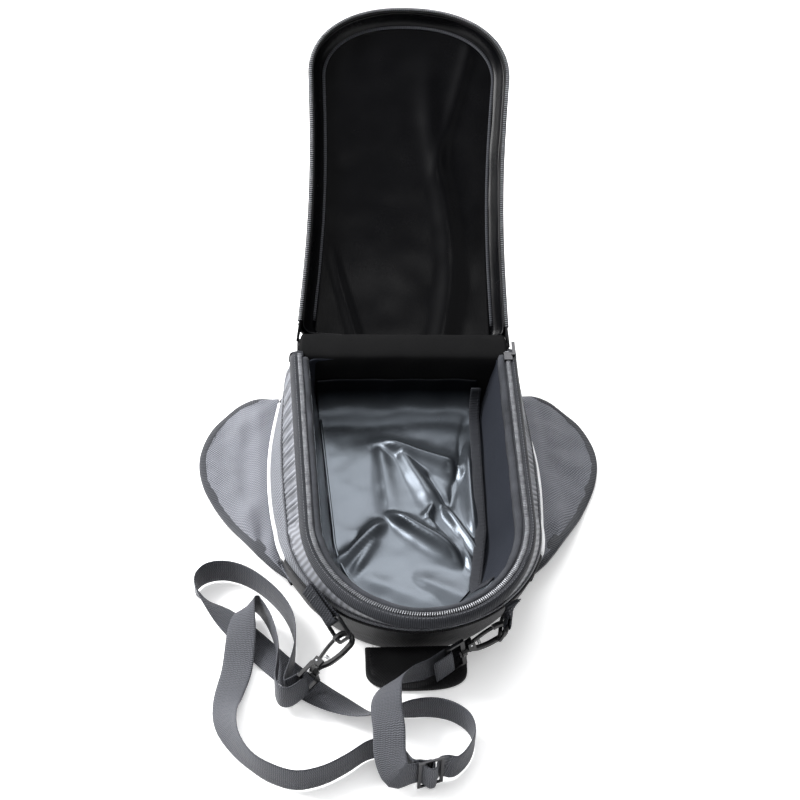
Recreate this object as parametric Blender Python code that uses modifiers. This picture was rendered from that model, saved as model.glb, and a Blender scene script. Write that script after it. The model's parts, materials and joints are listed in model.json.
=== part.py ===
"""Motorcycle tank bag with its zipped lid laid open.

Metres, +Z up.  The origin is on the underside of the base, the long axis is Y, the lid hinges
at the +Y end and the front flap points to -Y.  The lid is modelled closed, about its hinge line,
and an empty on that line turns it open.
"""
import math

import bmesh
import bpy
import numpy as np
from mathutils import Matrix, Vector

# --- driving dimensions -------------------------------------------------------------------------
RIM_Z = 0.0768            # height of the zip around the mouth
RIM_HALF = 0.0875         # half width of the mouth along the sides, to the zip
REAR_HALF = 0.0925        # half width of the mouth at the hinge end
FRONT_Y = -0.153          # front of the mouth, at the zip
REAR_Y = 0.150            # where the zip ends near the hinge
RIM_CENTRE_Y = -0.050     # where the straight sides meet the round front, at the mouth
BASE_CENTRE_Y = 0.000     # and at the base
LEAN = 0.005              # sideways lean of the soft body, base to mouth
GAP = 0.0004              # clearance between touching pieces

# outside of the wall: height, how far it stands outside the zip at the sides, and at the front
WALL = ((0.0000, 0.0195, -0.0270), (0.0100, 0.0250, -0.0240), (0.0220, 0.0270, -0.0215),
        (0.0360, 0.0240, -0.0160), (0.0520, 0.0175, -0.0080), (0.0640, 0.0115, 0.0010),
        (0.0715, 0.0080, 0.0055))
# inside of the wall, in the same way
INSIDE = ((0.0000, -0.0195, -0.0500), (0.0200, -0.0165, -0.0400), (0.0500, -0.0115, -0.0210),
          (0.0725, -0.0065, -0.0075))
BELLY = 0.007             # extra fullness of the sides half way along, at the widest height
WALL_REAR_Y = 0.1575      # outside of the rear wall
PIPING_Z = 0.022          # height of the piping along the sides
PIPING_RISE = 0.018       # how much it climbs around the front
PIPING_RADIUS = 0.00125
BAND_Z = 0.0515           # bottom of the ribbed band under the zip
SKIN = 0.0012             # outer fabric
COIL_HALF_WIDTH = 0.0022
COIL_HALF_HEIGHT = 0.0013

HINGE = Vector((LEAN, 0.1590, 0.0785))
HINGE_YAW = math.radians(-1.4)
LID_OPEN = math.radians(-140.0)
LID_COIL_Z = 0.0812
LID_WAIST = 0.005
LID_END_Y = -0.153
LID_CENTRE_Y = -0.091
LID_END_HALF = 0.0900
LID_TOP_Z = 0.1045

WING_AXIS_X = 0.1225
WING_AXIS_Z = 0.0160
WING_GAP = 0.0014         # from the hinge line to each side of the fold
WING_ROOT_Y = (0.1530, -0.0365)
WING_OUTLINE = ((0.1239, 0.1530), (0.1480, 0.1520), (0.1675, 0.1320), (0.1785, 0.0950),
                (0.1740, 0.0590), (0.1560, 0.0190), (0.1390, -0.0120), (0.1262, -0.0330))
WING_MID_Z = 0.0028       # middle of the wing's thickness where it lies on the ground

FLAP_AXIS_Y = -0.1345
FLAP_AXIS_Z = 0.0090
FLAP_HALF = 0.0405
FLAP_END_Y = -0.1675

WEB_WIDTH = 0.025         # strap webbing
WEB_THICK = 0.0014
RING_BAR = 0.0015
TAB_HALF = 0.0095         # half width of the sewn tabs
HOOK_HALF_WIDTH = 0.0022
HOOK_HALF_THICK = 0.0024

COLLECTION = "tank_bag"
SIDE_STEPS, FRONT_STEPS, CORNER_STEPS, REAR_STEPS = 6, 16, 2, 2


# --- scene and materials --------------------------------------------------------------------------
def clear_scene():
    for item in list(bpy.data.objects):
        bpy.data.objects.remove(item, do_unlink=True)


def make_collection(name):
    collection = bpy.data.collections.new(name)
    bpy.context.scene.collection.children.link(collection)
    return collection


def material(name, colour, roughness, metallic=0.0):
    made = bpy.data.materials.new(name)
    made.use_nodes = True
    shader = made.node_tree.nodes["Principled BSDF"]
    shader.inputs["Base Color"].default_value = (*colour, 1.0)
    shader.inputs["Roughness"].default_value = roughness
    shader.inputs["Metallic"].default_value = metallic
    return made


COLOURS = {
    "nylon": ((0.085, 0.090, 0.098), 0.62, 0.0), "black_nylon": ((0.012, 0.011, 0.013), 0.70, 0.0),
    "mesh": ((0.16, 0.165, 0.175), 0.70, 0.0), "ribbed": ((0.13, 0.135, 0.145), 0.65, 0.0),
    "tape": ((0.10, 0.105, 0.11), 0.75, 0.0), "coil": ((0.32, 0.33, 0.34), 0.35, 0.0),
    "piping": ((0.80, 0.81, 0.82), 0.45, 0.0), "binding": ((0.07, 0.075, 0.08), 0.70, 0.0),
    "liner": ((0.33, 0.35, 0.36), 0.36, 0.0), "felt": ((0.035, 0.040, 0.048), 0.95, 0.0),
    "lining": ((0.006, 0.006, 0.008), 0.30, 0.0), "foam": ((0.05, 0.05, 0.055), 0.95, 0.0),
    "board": ((0.03, 0.03, 0.03), 0.60, 0.0), "magnet": ((0.10, 0.10, 0.11), 0.50, 0.0),
    "webbing": ((0.060, 0.063, 0.068), 0.70, 0.0), "plastic": ((0.014, 0.014, 0.016), 0.38, 0.0),
    "metal": ((0.55, 0.56, 0.58), 0.28, 1.0),
}


def put(name, mesh, colour, parent=None, shade=True):
    """Make an object of a mesh, in the part's collection, with a material of its own."""
    item = bpy.data.objects.new(name, mesh)
    PART.objects.link(item)
    mesh.materials.append(material(name, *COLOURS[colour]))
    if shade:
        mesh.shade_smooth()
        mesh.set_sharp_from_angle(angle=math.radians(40))
    if parent:
        item.parent = parent
    return item


# --- mesh builders --------------------------------------------------------------------------------
def mesh_from_rows(name, rows, around=False, along=False, cap=None):
    """Quads between rows of points.  around closes each row, along joins last row to first."""
    rows = np.asarray(rows, float)
    count, width = rows.shape[:2]
    made = bmesh.new()
    verts = [[made.verts.new(point) for point in row] for row in rows]
    for i in range(count if along else count - 1):
        here, there = verts[i], verts[(i + 1) % count]
        for j in range(width if around else width - 1):
            k = (j + 1) % width
            made.faces.new((here[j], here[k], there[k], there[j]))
    if cap == "rows":
        made.faces.new(verts[0])
        made.faces.new(verts[-1])
    made.normal_update()
    if cap or (around and along):
        bmesh.ops.recalc_face_normals(made, faces=made.faces)
    mesh = bpy.data.meshes.new(name)
    made.to_mesh(mesh)
    made.free()
    return mesh


def sheet(name, rows, thickness, colour, around=False, parent=None):
    """A fabric sheet: an open surface through the rows, given thickness about its middle."""
    item = put(name, mesh_from_rows(name, rows, around=around), colour, parent)
    solid = item.modifiers.new("thickness", "SOLIDIFY")
    solid.thickness = thickness
    solid.offset = 0.0
    solid.use_even_offset = True
    return item


def block(name, rows, colour, parent=None):
    """A solid lofted through closed rows and capped at both ends."""
    return put(name, mesh_from_rows(name, rows, around=True, cap="rows"), colour, parent)


def tangents(path, closed=False):
    path = np.asarray(path, float)
    if closed:
        along = np.roll(path, -1, 0) - np.roll(path, 1, 0)
    else:
        along = np.gradient(path, axis=0)
    return along / np.linalg.norm(along, axis=1)[:, None]


def flat_widths(path, closed=False):
    """Level directions across a path, to its left."""
    along = tangents(path, closed)
    across = np.stack([-along[:, 1], along[:, 0], np.zeros(len(along))], 1)
    return across / np.linalg.norm(across, axis=1)[:, None]


def section(corners, power=1.0):
    """A unit section: 4 corners for a strip, more for a rounded bar."""
    if corners == 4:
        return np.array([(-1, -1), (1, -1), (1, 1), (-1, 1)], float)
    turn = (np.arange(corners) + 0.5) * 2 * math.pi / corners
    shape = np.stack([np.cos(turn), np.sin(turn)], 1)
    return np.sign(shape) * np.abs(shape) ** power


def sweep_rows(path, widths, half_width, half_thick, corners=8, closed=False, power=0.7):
    path, widths = np.asarray(path, float), np.asarray(widths, float)
    normals = np.cross(widths, tangents(path, closed))
    normals /= np.linalg.norm(normals, axis=1)[:, None]
    shape = section(corners, power)
    return [point + shape[:, :1] * half_width * across + shape[:, 1:] * half_thick * normal
            for point, across, normal in zip(path, widths, normals)]


def sweep(name, path, widths, half_width, half_thick, colour, corners=8, closed=False,
          parent=None, power=0.7):
    """A bar of constant section along a path."""
    rows = sweep_rows(path, widths, half_width, half_thick, corners, closed, power)
    mesh = mesh_from_rows(name, rows, around=True, along=closed, cap=None if closed else "rows")
    return put(name, mesh, colour, parent)


def smooth_curve(points, steps):
    """Catmull-Rom curve through points, with the given number of steps between each pair."""
    points = np.asarray(points, float)
    ends = (2 * points[0] - points[1], 2 * points[-1] - points[-2])
    padded = np.vstack([ends[0], points, ends[1]])
    curve = []
    for a, b, c, d in zip(padded, padded[1:], padded[2:], padded[3:]):
        for t in np.arange(steps) / steps:
            curve.append(0.5 * (2 * b + (c - a) * t + (2 * a - 5 * b + 4 * c - d) * t ** 2
                                + (3 * b - a - 3 * c + d) * t ** 3))
    curve.append(points[-1])
    return np.array(curve)


def smoothstep(value):
    value = np.clip(value, 0.0, 1.0)
    return value * value * (3 - 2 * value)


# --- the body's outline at any height ---------------------------------------------------------------
def mouth_curve(height, side, front, rear_y):
    """Points from the rear left corner, round the front, to the rear right corner.

    height, side and front may be arrays with one value a point.  side and front are how far
    the line stands outside the zip.
    """
    lift = height / RIM_Z
    centre_y = BASE_CENTRE_Y + (RIM_CENTRE_Y - BASE_CENTRE_Y) * lift
    front_half = RIM_HALF + side - 0.004 * (1 - lift)
    rear_half = REAR_HALF + np.minimum(side, 0.008) + 0.3 * np.maximum(side - 0.008, 0.0)
    full = BELLY * np.clip((side - 0.008) / 0.019, 0, 1)
    steps = np.arange(SIDE_STEPS) / SIDE_STEPS
    angle = np.arange(FRONT_STEPS + 1) / FRONT_STEPS * math.pi
    run = np.concatenate([1 - steps, np.zeros(FRONT_STEPS + 1), 1 - steps[::-1]])
    turn = np.concatenate([np.zeros(SIDE_STEPS), angle, np.full(SIDE_STEPS, math.pi)])
    half = front_half + (rear_half - front_half) * run + full * np.sin(math.pi * run)
    x = -half * np.cos(turn) + LEAN * lift
    front_reach = centre_y - (FRONT_Y - front)
    y = centre_y - front_reach * np.sin(turn) + (rear_y - centre_y) * run
    return np.stack([x, y, np.broadcast_to(height, x.shape)], 1)


def closed_curve(height, side, front, rear_y, corner):
    """The mouth curve, closed by two rear corners and the rear edge."""
    sides = mouth_curve(height, side, front, rear_y - corner)
    right, left = sides[-1], sides[0]
    turn = np.arange(1, CORNER_STEPS + 1) / CORNER_STEPS * math.pi / 2
    bend = np.stack([np.cos(turn) - 1, np.sin(turn), 0 * turn], 1) * corner
    right_corner = right + bend
    left_corner = left + bend[::-1] * (-1, 1, 1)
    across = np.linspace(right_corner[-1], left_corner[0], REAR_STEPS + 2)[1:-1]
    return np.vstack([sides, right_corner, across, left_corner])


def profile(table, height):
    heights, sides, fronts = np.array(table).T
    return np.interp(height, heights, sides), np.interp(height, heights, fronts)


def wall_curve(table, height, inset, rear_y, corner):
    """A closed curve on a wall profile, moved inwards by inset."""
    side, front = profile(table, height)
    return closed_curve(height, side - inset, front - inset, rear_y - inset, corner)


CURVE_COUNT = 2 * SIDE_STEPS + FRONT_STEPS + 1 + 2 * CORNER_STEPS + REAR_STEPS


def curve_at(table, heights, inset, rear_y, corner):
    """A closed curve on a wall profile whose height may change from point to point."""
    heights = np.broadcast_to(heights, (CURVE_COUNT,))
    return np.array([wall_curve(table, height, inset, rear_y, corner)[i]
                     for i, height in enumerate(heights)])


def skin_rows(low, high, steps, inset, corner=0.014):
    """Rows of a skin on the outer wall, between two heights that may vary along it."""
    return [curve_at(WALL, low + (high - low) * share, inset, WALL_REAR_Y, corner)
            for share in np.linspace(0, 1, steps + 1)]


def piping_heights():
    """Height of the piping along the closed curve: level, then climbing around the front."""
    reach = wall_curve(WALL, PIPING_Z, 0.0, WALL_REAR_Y, 0.014)[:, 1]
    return PIPING_Z + PIPING_RISE * smoothstep((0.010 - reach) / 0.095)


# --- body -------------------------------------------------------------------------------------------
def base():
    """Outer base skin, and the board that keeps it flat."""
    skin = [wall_curve(WALL, z, 0.0012, WALL_REAR_Y, 0.020) * (1, 1, 0) + (0, 0, z)
            for z in (0.0, 0.0014)]
    block("base_skin", skin, "black_nylon")
    board = [wall_curve(WALL, 0.0, 0.0055, WALL_REAR_Y, 0.020) * (1, 1, 0) + (0, 0, z)
             for z in (0.0018, 0.0046)]
    block("base_stiffener", board, "board")


def outer_wall():
    """Boxing, piping, side wall and the ribbed band under the zip, one above the other."""
    seam = piping_heights()
    room = PIPING_RADIUS + GAP
    sheet("boxing", skin_rows(0.0024, seam - room, 2, 0.0006), SKIN, "nylon", around=True)
    sheet("side_wall", skin_rows(seam + room, BAND_Z - GAP, 3, 0.0006), SKIN, "mesh", around=True)
    sheet("rim_band", skin_rows(BAND_Z + GAP, 0.0700, 2, 0.0006), SKIN, "ribbed", around=True)
    line = curve_at(WALL, seam, 0.0002, WALL_REAR_Y, 0.014)
    sweep("piping", line, flat_widths(line, True), PIPING_RADIUS, PIPING_RADIUS, "piping",
          corners=6, closed=True, power=1.0)


def padding_and_lining():
    """Foam that fills the wall, and the felt that lines it."""
    outside = [wall_curve(WALL, z, 0.0034, WALL_REAR_Y, 0.014) for z in (0.0070, 0.0220, 0.0460, 0.0685)]
    inside = [closed_curve(z, *inside_offsets(z, 0.0020), 0.1508, 0.010) for z in (0.0695, 0.0460, 0.0070)]
    mesh = mesh_from_rows("wall_padding", outside + inside, around=True, along=True)
    put("wall_padding", mesh, "foam")
    felt = [closed_curve(z, *inside_offsets(z, 0.0), 0.1490, 0.010) for z in (0.0180, 0.0460, 0.0715)]
    sheet("wall_lining", felt, 0.0014, "felt", around=True)


def inside_offsets(height, outset):
    side, front = profile(INSIDE, height)
    return side + outset, front + outset


def liner():
    """The coated inner sheet on the floor of the bag, and the taped seam along its edge."""
    rows = []
    for z, inset in ((0.0052, 0.0), (0.0120, 0.0), (0.0155, 0.0060), (0.0165, 0.0200)):
        side, front = inside_offsets(0.0, -0.0020 - inset)
        rows.append(closed_curve(z, side, front, 0.1440 - inset, 0.010))
    block("liner", rows, "liner")
    side, front = inside_offsets(0.0, -0.0066)
    seam = mouth_curve(0.0168, side, front, 0.1200)
    sweep("liner_seam_tape", seam, flat_widths(seam), 0.0040, 0.0006, "binding", corners=4)


def mouth():
    """Binding, zip coil and zip tape around the mouth."""
    coil = mouth_curve(RIM_Z, 0.0, 0.0, REAR_Y)
    sweep("body_zip_coil", coil, flat_widths(coil), COIL_HALF_WIDTH, COIL_HALF_HEIGHT, "coil", 6)
    edge = mouth_curve(0.0750, -0.0066, -0.0066, REAR_Y - 0.003)
    sweep("rim_binding", edge, flat_widths(edge), 0.0024, 0.0014, "binding", 6)
    tape = [mouth_curve(z, out, out, REAR_Y) for out, z in
            ((0.0030, 0.0769), (0.0047, 0.0763), (0.0064, 0.0747), (0.0078, 0.0722))]
    sheet("body_zip_tape", tape, 0.0007, "tape")


def rear_web():
    """The fabric under the hinge line, on the body's side of it."""
    rows = [hinge_line(back, z - HINGE.z, 0.084) for back, z in ((-0.0022, 0.0712), (-0.0018, 0.0775))]
    sheet("rear_web", rows, 0.0008, "black_nylon")


def hinge_line(back, up, half, steps=6):
    """Points beside the hinge axis, offset from it level and upwards."""
    along = np.array((math.cos(HINGE_YAW), math.sin(HINGE_YAW), 0.0))
    aside = np.array((-math.sin(HINGE_YAW), math.cos(HINGE_YAW), 0.0))
    places = np.linspace(-half, half, steps + 1)[:, None]
    return np.array(HINGE) + places * along + back * aside + (0, 0, up)


# --- zip slider -------------------------------------------------------------------------------------
def boolean(item, other, operation):
    """Cut or join with another object, which becomes a hidden guide."""
    change = item.modifiers.new(other.name, "BOOLEAN")
    change.operation = operation
    change.object = other
    change.solver = "EXACT"
    other.hide_render = True
    other.display_type = "WIRE"
    for owner in list(other.users_collection):
        owner.objects.unlink(other)
    TOOLS.objects.link(other)


def box(name, low, high, colour="plastic", parent=None):
    low, high = np.array(low, float), np.array(high, float)
    made = bmesh.new()
    bmesh.ops.create_cube(made, size=1.0)
    bmesh.ops.scale(made, vec=high - low, verts=made.verts)
    bmesh.ops.translate(made, vec=(low + high) / 2, verts=made.verts)
    mesh = bpy.data.meshes.new(name)
    made.to_mesh(mesh)
    made.free()
    return put(name, mesh, colour, parent, shade=False)


def rod(name, start, end, radius, colour="metal", parent=None, segments=12):
    start, end = Vector(start), Vector(end)
    made = bmesh.new()
    bmesh.ops.create_cone(made, cap_ends=True, segments=segments, radius1=radius, radius2=radius,
                          depth=(end - start).length)
    turn = (end - start).to_track_quat("Z", "Y").to_matrix().to_4x4()
    bmesh.ops.transform(made, matrix=Matrix.Translation((start + end) / 2) @ turn, verts=made.verts)
    mesh = bpy.data.meshes.new(name)
    made.to_mesh(mesh)
    made.free()
    return put(name, mesh, colour, parent)


SLIDER_LENGTH = 0.0095
SLIDER_SIDE = COIL_HALF_WIDTH + 0.0005


def zip_slider():
    """A slider round the right-hand coil, parked at the hinge end, with its pull.

    In the slider's frame X points outboard, Y towards the hinge and Z up, from the coil's centre.
    """
    coil = mouth_curve(RIM_Z, 0.0, 0.0, REAR_Y)
    end, far = Vector(coil[-1]), Vector(coil[-1 - SIDE_STEPS])
    along = (end - far).normalized()
    frame = bpy.data.objects.new("slider_frame", None)
    PART.objects.link(frame)
    frame.location = end - along * 0.0075
    frame.rotation_euler = (0, 0, math.atan2(-along.x, along.y))
    half = SLIDER_LENGTH / 2
    top, wall = COIL_HALF_HEIGHT + 0.0003, 0.0009
    body = box("zip_slider", (-SLIDER_SIDE - wall, -half, -top - wall), (0.0036, half, top + wall),
               "metal", frame)
    channel = box("slider_channel", (-SLIDER_SIDE, -0.02, -top), (SLIDER_SIDE, 0.02, top), parent=frame)
    mouth_slot = box("slider_slot", (0.0, -0.02, -top - 0.003), (0.02, 0.02, top - 0.0001), parent=frame)
    post = rod("slider_post", (0.0058, 0.002, 0.0007), (0.0058, 0.002, 0.0032), 0.0007, parent=frame)
    arm = box("slider_arm", (0.0028, 0.0012, 0.0022), (0.0064, 0.0028, 0.0031), parent=frame)
    head = rod("slider_head", (0.0058, 0.002, 0.0005), (0.0058, 0.002, 0.0009), 0.0013, parent=frame)
    boolean(body, channel, "DIFFERENCE")
    boolean(body, mouth_slot, "DIFFERENCE")
    for extra in (arm, post, head):
        boolean(body, extra, "UNION")
    pull = box("zip_pull", (0.0043, 0.0007, 0.00120), (0.0073, 0.0200, 0.00185), "metal", frame)
    eye = rod("pull_eye", (0.0058, 0.002, -0.01), (0.0058, 0.002, 0.01), 0.00105, parent=frame)
    boolean(pull, eye, "DIFFERENCE")


# --- lid --------------------------------------------------------------------------------------------
def lid_curve(height, inset, rear_y, corner=None):
    """The lid's outline, closed pose.  With a corner radius it is closed across the rear."""
    steps = np.arange(SIDE_STEPS) / SIDE_STEPS
    angle = np.arange(FRONT_STEPS + 1) / FRONT_STEPS * math.pi
    run = np.concatenate([1 - steps, np.zeros(FRONT_STEPS + 1), 1 - steps[::-1]])
    turn = np.concatenate([np.zeros(SIDE_STEPS), angle, np.full(SIDE_STEPS, math.pi)])
    half = LID_END_HALF + (REAR_HALF - LID_END_HALF) * run - LID_WAIST * np.sin(math.pi * run) - inset
    round_x = -np.sign(np.cos(turn)) * np.abs(np.cos(turn)) ** 0.9
    round_y = np.abs(np.sin(turn)) ** 0.9
    reach = LID_CENTRE_Y - LID_END_Y - inset
    rear = rear_y - (corner or 0.0)
    y = LID_CENTRE_Y - reach * round_y + (rear - LID_CENTRE_Y) * run
    sides = np.stack([half * round_x + LEAN, y, np.full(y.shape, height)], 1)
    if corner is None:
        return sides
    bend_turn = np.arange(1, CORNER_STEPS + 1) / CORNER_STEPS * math.pi / 2
    bend = np.stack([np.cos(bend_turn) - 1, np.sin(bend_turn), 0 * bend_turn], 1) * corner
    right_corner, left_corner = sides[-1] + bend, sides[0] + bend[::-1] * (-1, 1, 1)
    across = np.linspace(right_corner[-1], left_corner[0], REAR_STEPS + 2)[1:-1]
    return np.vstack([sides, right_corner, across, left_corner])


def lid():
    """The lid, modelled closed about the hinge line and turned open by an empty."""
    hinge = bpy.data.objects.new("lid_hinge", None)
    PART.objects.link(hinge)
    hinge.location = HINGE
    axis = Vector((math.cos(HINGE_YAW), math.sin(HINGE_YAW), 0.0))
    hinge.rotation_mode = "QUATERNION"
    hinge.rotation_quaternion = Matrix.Rotation(LID_OPEN, 4, axis).to_quaternion()

    def local(rows):
        return np.asarray(rows) - np.array(HINGE)

    coil = local(lid_curve(LID_COIL_Z, 0.0, REAR_Y - 0.012))
    sweep("lid_zip_coil", coil, flat_widths(coil), COIL_HALF_WIDTH, COIL_HALF_HEIGHT, "coil", 6,
          parent=hinge)
    tape = [lid_curve(z, 0.0, REAR_Y - 0.012) for z in (0.0830, 0.0866)]
    sheet("lid_zip_tape", local(tape), 0.0007, "tape", parent=hinge)
    band = [lid_curve(z, inset, 0.1525, 0.012) for inset, z in
            ((-0.0004, 0.0872), (-0.0008, 0.0930), (0.0006, 0.0990), (0.0030, 0.1022))]
    sheet("lid_side_band", local(band), SKIN, "black_nylon", around=True, parent=hinge)
    inner = [lid_curve(z, inset, 0.1500, 0.010) for inset, z in
             ((0.0030, 0.0845), (0.0050, 0.0900), (0.0095, 0.0972))]
    sheet("lid_side_lining", local(inner), 0.0009, "lining", around=True, parent=hinge)
    for name, low, high, inset, colour in (("lid_panel", 0.1029, LID_TOP_Z, 0.0030, "black_nylon"),
                                           ("lid_stiffener", 0.0998, 0.1025, 0.0075, "board"),
                                           ("lid_lining", 0.0984, 0.0993, 0.0105, "lining")):
        rows = [lid_curve(z, inset, 0.1525 - inset, 0.010) for z in (low, high)]
        block(name, local(rows), colour, hinge)
    edge = local(lid_curve(0.0965, 0.0128, 0.1400, 0.010))
    sweep("lid_binding", edge, flat_widths(edge, True), 0.0016, 0.0011, "binding", corners=6,
          closed=True, parent=hinge)
    web = [hinge_line(back, up, 0.080) for back, up in ((-0.0012, 0.0018), (-0.0060, 0.0070))]
    sheet("lid_hinge_web", local(web), 0.0008, "black_nylon", parent=hinge)


# --- wings and front flap -----------------------------------------------------------------------------
def wing_middle(x):
    """Height of the middle of the wing's thickness, from its fold down to the ground."""
    share = (np.abs(x) - WING_AXIS_X) / 0.036
    return WING_MID_Z + (WING_AXIS_Z - WING_MID_Z) * (1 - smoothstep(share))


def shape_rows(outline, root, low, high, count):
    """Rows between a straight root line and an outline, from share low to share high."""
    rows = []
    for share in np.linspace(low, high, count):
        rows.append(root + (outline - root) * share)
    return rows


def wing(side):
    """One magnetic side wing: two skins, an edge binding and the magnet plate between them."""
    name = "left" if side < 0 else "right"
    hinge = bpy.data.objects.new("wing_hinge_" + name, None)
    PART.objects.link(hinge)
    hinge.location = (side * WING_AXIS_X, 0.0, WING_AXIS_Z)
    outline = smooth_curve(WING_OUTLINE, 3)
    root_y = np.linspace(outline[0][1], outline[-1][1], len(outline))
    root = np.stack([np.full(len(outline), WING_OUTLINE[0][0]), root_y], 1)

    def placed(flat, lift):
        x = side * flat[:, 0]
        return np.stack([x, flat[:, 1], wing_middle(x) + lift], 1) - np.array(hinge.location)

    outward = flat_widths(np.hstack([outline, np.zeros((len(outline), 1))]))[:, :2]
    for part, lift, colour in (("wing_top_", 0.0016, "nylon"), ("wing_backing_", -0.0016, "black_nylon")):
        edge = (outline - outward * 0.0056)[2:-2]
        start = np.stack([root[2:-2, 0], np.clip(root_y[2:-2], edge[-1][1], edge[0][1])], 1)
        rows = [placed(flat, lift) for flat in shape_rows(edge, start, 0.0, 1.0, 6)]
        sheet(part + name, rows, SKIN, colour, parent=hinge)
    inner = outline - outward * 0.0024
    path = placed(inner, 0.0)
    sweep("wing_binding_" + name, path, flat_widths(path), 0.0022, 0.0023, "binding", corners=8,
          parent=hinge)
    turn = np.arange(16) / 16 * 2 * math.pi
    plate = np.stack([0.1655 + 0.0065 * np.cos(turn), 0.0880 + 0.0240 * np.sin(turn)], 1)
    block("wing_magnet_" + name, [placed(plate, lift) for lift in (-0.0006, 0.0006)], "magnet", hinge)
    wing_root(side, name)


def wing_root(side, name):
    """The fixed apron between the body's seam and the wing's fold."""
    wall = wall_curve(WALL, 0.0160, -0.0014, WALL_REAR_Y, 0.014)
    chosen = wall[:SIDE_STEPS + FRONT_STEPS // 2] if side < 0 else wall[SIDE_STEPS + FRONT_STEPS // 2:]
    keep = chosen[(chosen[:, 1] > -0.0665) & (chosen[:, 1] < 0.1440)]
    fold_x = side * (WING_AXIS_X - WING_GAP)
    fold = np.stack([np.full(len(keep), fold_x), keep[:, 1], np.full(len(keep), WING_AXIS_Z)], 1)
    tip = keep[np.argmin(keep[:, 1])]
    corner = np.array((fold_x, WING_ROOT_Y[1], WING_AXIS_Z))
    past = np.clip((WING_ROOT_Y[1] - keep[:, 1]) / (WING_ROOT_Y[1] - tip[1]), 0, 0.9)[:, None]
    fold = np.where(past > 0, corner + (tip - corner) * past, fold)
    sheet("wing_root_" + name, [keep + (fold - keep) * share for share in (0.0, 0.5, 1.0)], SKIN,
          "nylon")


def flap():
    """The front magnetic flap, built like the wings."""
    hinge = bpy.data.objects.new("flap_hinge", None)
    PART.objects.link(hinge)
    hinge.location = (0.0, FLAP_AXIS_Y, FLAP_AXIS_Z)
    turn = np.linspace(0, math.pi, 17)
    straight = 0.012

    def outline(inset, root_inset):
        half, reach = FLAP_HALF - inset, FLAP_AXIS_Y - 0.0012 - FLAP_END_Y - straight - inset
        x = -half * np.sign(np.cos(turn)) * np.abs(np.cos(turn)) ** 0.75
        y = FLAP_AXIS_Y - 0.0012 - straight - reach * np.sin(turn) ** 0.75
        ends = np.array([[-half, FLAP_AXIS_Y - 0.0012 - root_inset]])
        return np.vstack([ends, np.stack([x, y], 1), ends * (-1, 1)])

    def placed(flat, lift):
        drop = smoothstep((FLAP_AXIS_Y - flat[:, 1]) / 0.016)
        z = FLAP_AXIS_Z + (WING_MID_Z - FLAP_AXIS_Z) * drop + lift
        return np.stack([flat[:, 0], flat[:, 1], z], 1) - np.array(hinge.location)

    edge = outline(0.0046, 0.0)
    root = np.stack([edge[:, 0], np.full(len(edge), edge[0][1])], 1)
    inner_edge, inner_root = edge[1:-1], root[1:-1]
    for part, lift, colour in (("flap_top", 0.0016, "black_nylon"), ("flap_backing", -0.0016, "black_nylon")):
        rows = [placed(flat, lift) for flat in shape_rows(inner_edge, inner_root, 0.0, 1.0, 6)]
        sheet(part, rows, SKIN, colour, parent=hinge)
    path = placed(outline(0.0023, 0.0), 0.0)
    sweep("flap_binding", path, flat_widths(path), 0.0020, 0.0023, "binding", corners=8, parent=hinge)
    low, high = (-0.026, -0.1600), (0.026, -0.1515)
    corners = np.array([low, (high[0], low[1]), high, (low[0], high[1])])
    block("flap_magnet", [placed(corners, lift) for lift in (-0.0006, 0.0006)], "magnet", hinge)


# --- strap hardware -------------------------------------------------------------------------------------
# per side: where the tab is sewn to the wall, the tab's width there, the bar of the ring that the
# tab holds, the bar that the hook holds, the ring's width direction, and the hook's direction
HARDWARE = {
    "left": dict(root=(-0.0860, -0.1052, 0.0560), root_width=(0.05, 0.05, 0.99),
                 near=(-0.0665, -0.1290, 0.0440), far=(-0.0570, -0.1410, 0.0345),
                 width=(0.0, 0.0, 1.0), hook=(-0.68, -0.66, -0.25), eye=(0, 0, 1)),
    "right": dict(root=(0.0745, -0.1285, 0.0605), root_width=(-0.72, -0.70, 0.0),
                  near=(0.0715, -0.1325, 0.0455), far=(0.0665, -0.1315, 0.0310),
                  width=(-0.15, -0.97, 0.10), hook=(-0.86, -0.46, -0.17), eye=(0, 0, 1)),
}
WRAP = RING_BAR + WEB_THICK / 2 + GAP


def unit(vector):
    vector = np.array(vector, float)
    return vector / np.linalg.norm(vector)


def square_to(vector, direction):
    """The part of a vector that is square to a direction, at unit length."""
    vector, direction = np.array(vector, float), unit(direction)
    return unit(vector - vector.dot(direction) * direction)


def frame_at(name, origin, x_axis, z_axis):
    """An empty whose X and Z axes point where told."""
    x_axis = Vector(unit(x_axis))
    z_axis = Vector(square_to(z_axis, x_axis))
    y_axis = z_axis.cross(x_axis)
    turn = Matrix((x_axis, y_axis, z_axis)).transposed().to_4x4()
    empty = bpy.data.objects.new(name, None)
    PART.objects.link(empty)
    empty.matrix_world = Matrix.Translation(Vector(origin)) @ turn
    return empty


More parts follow.
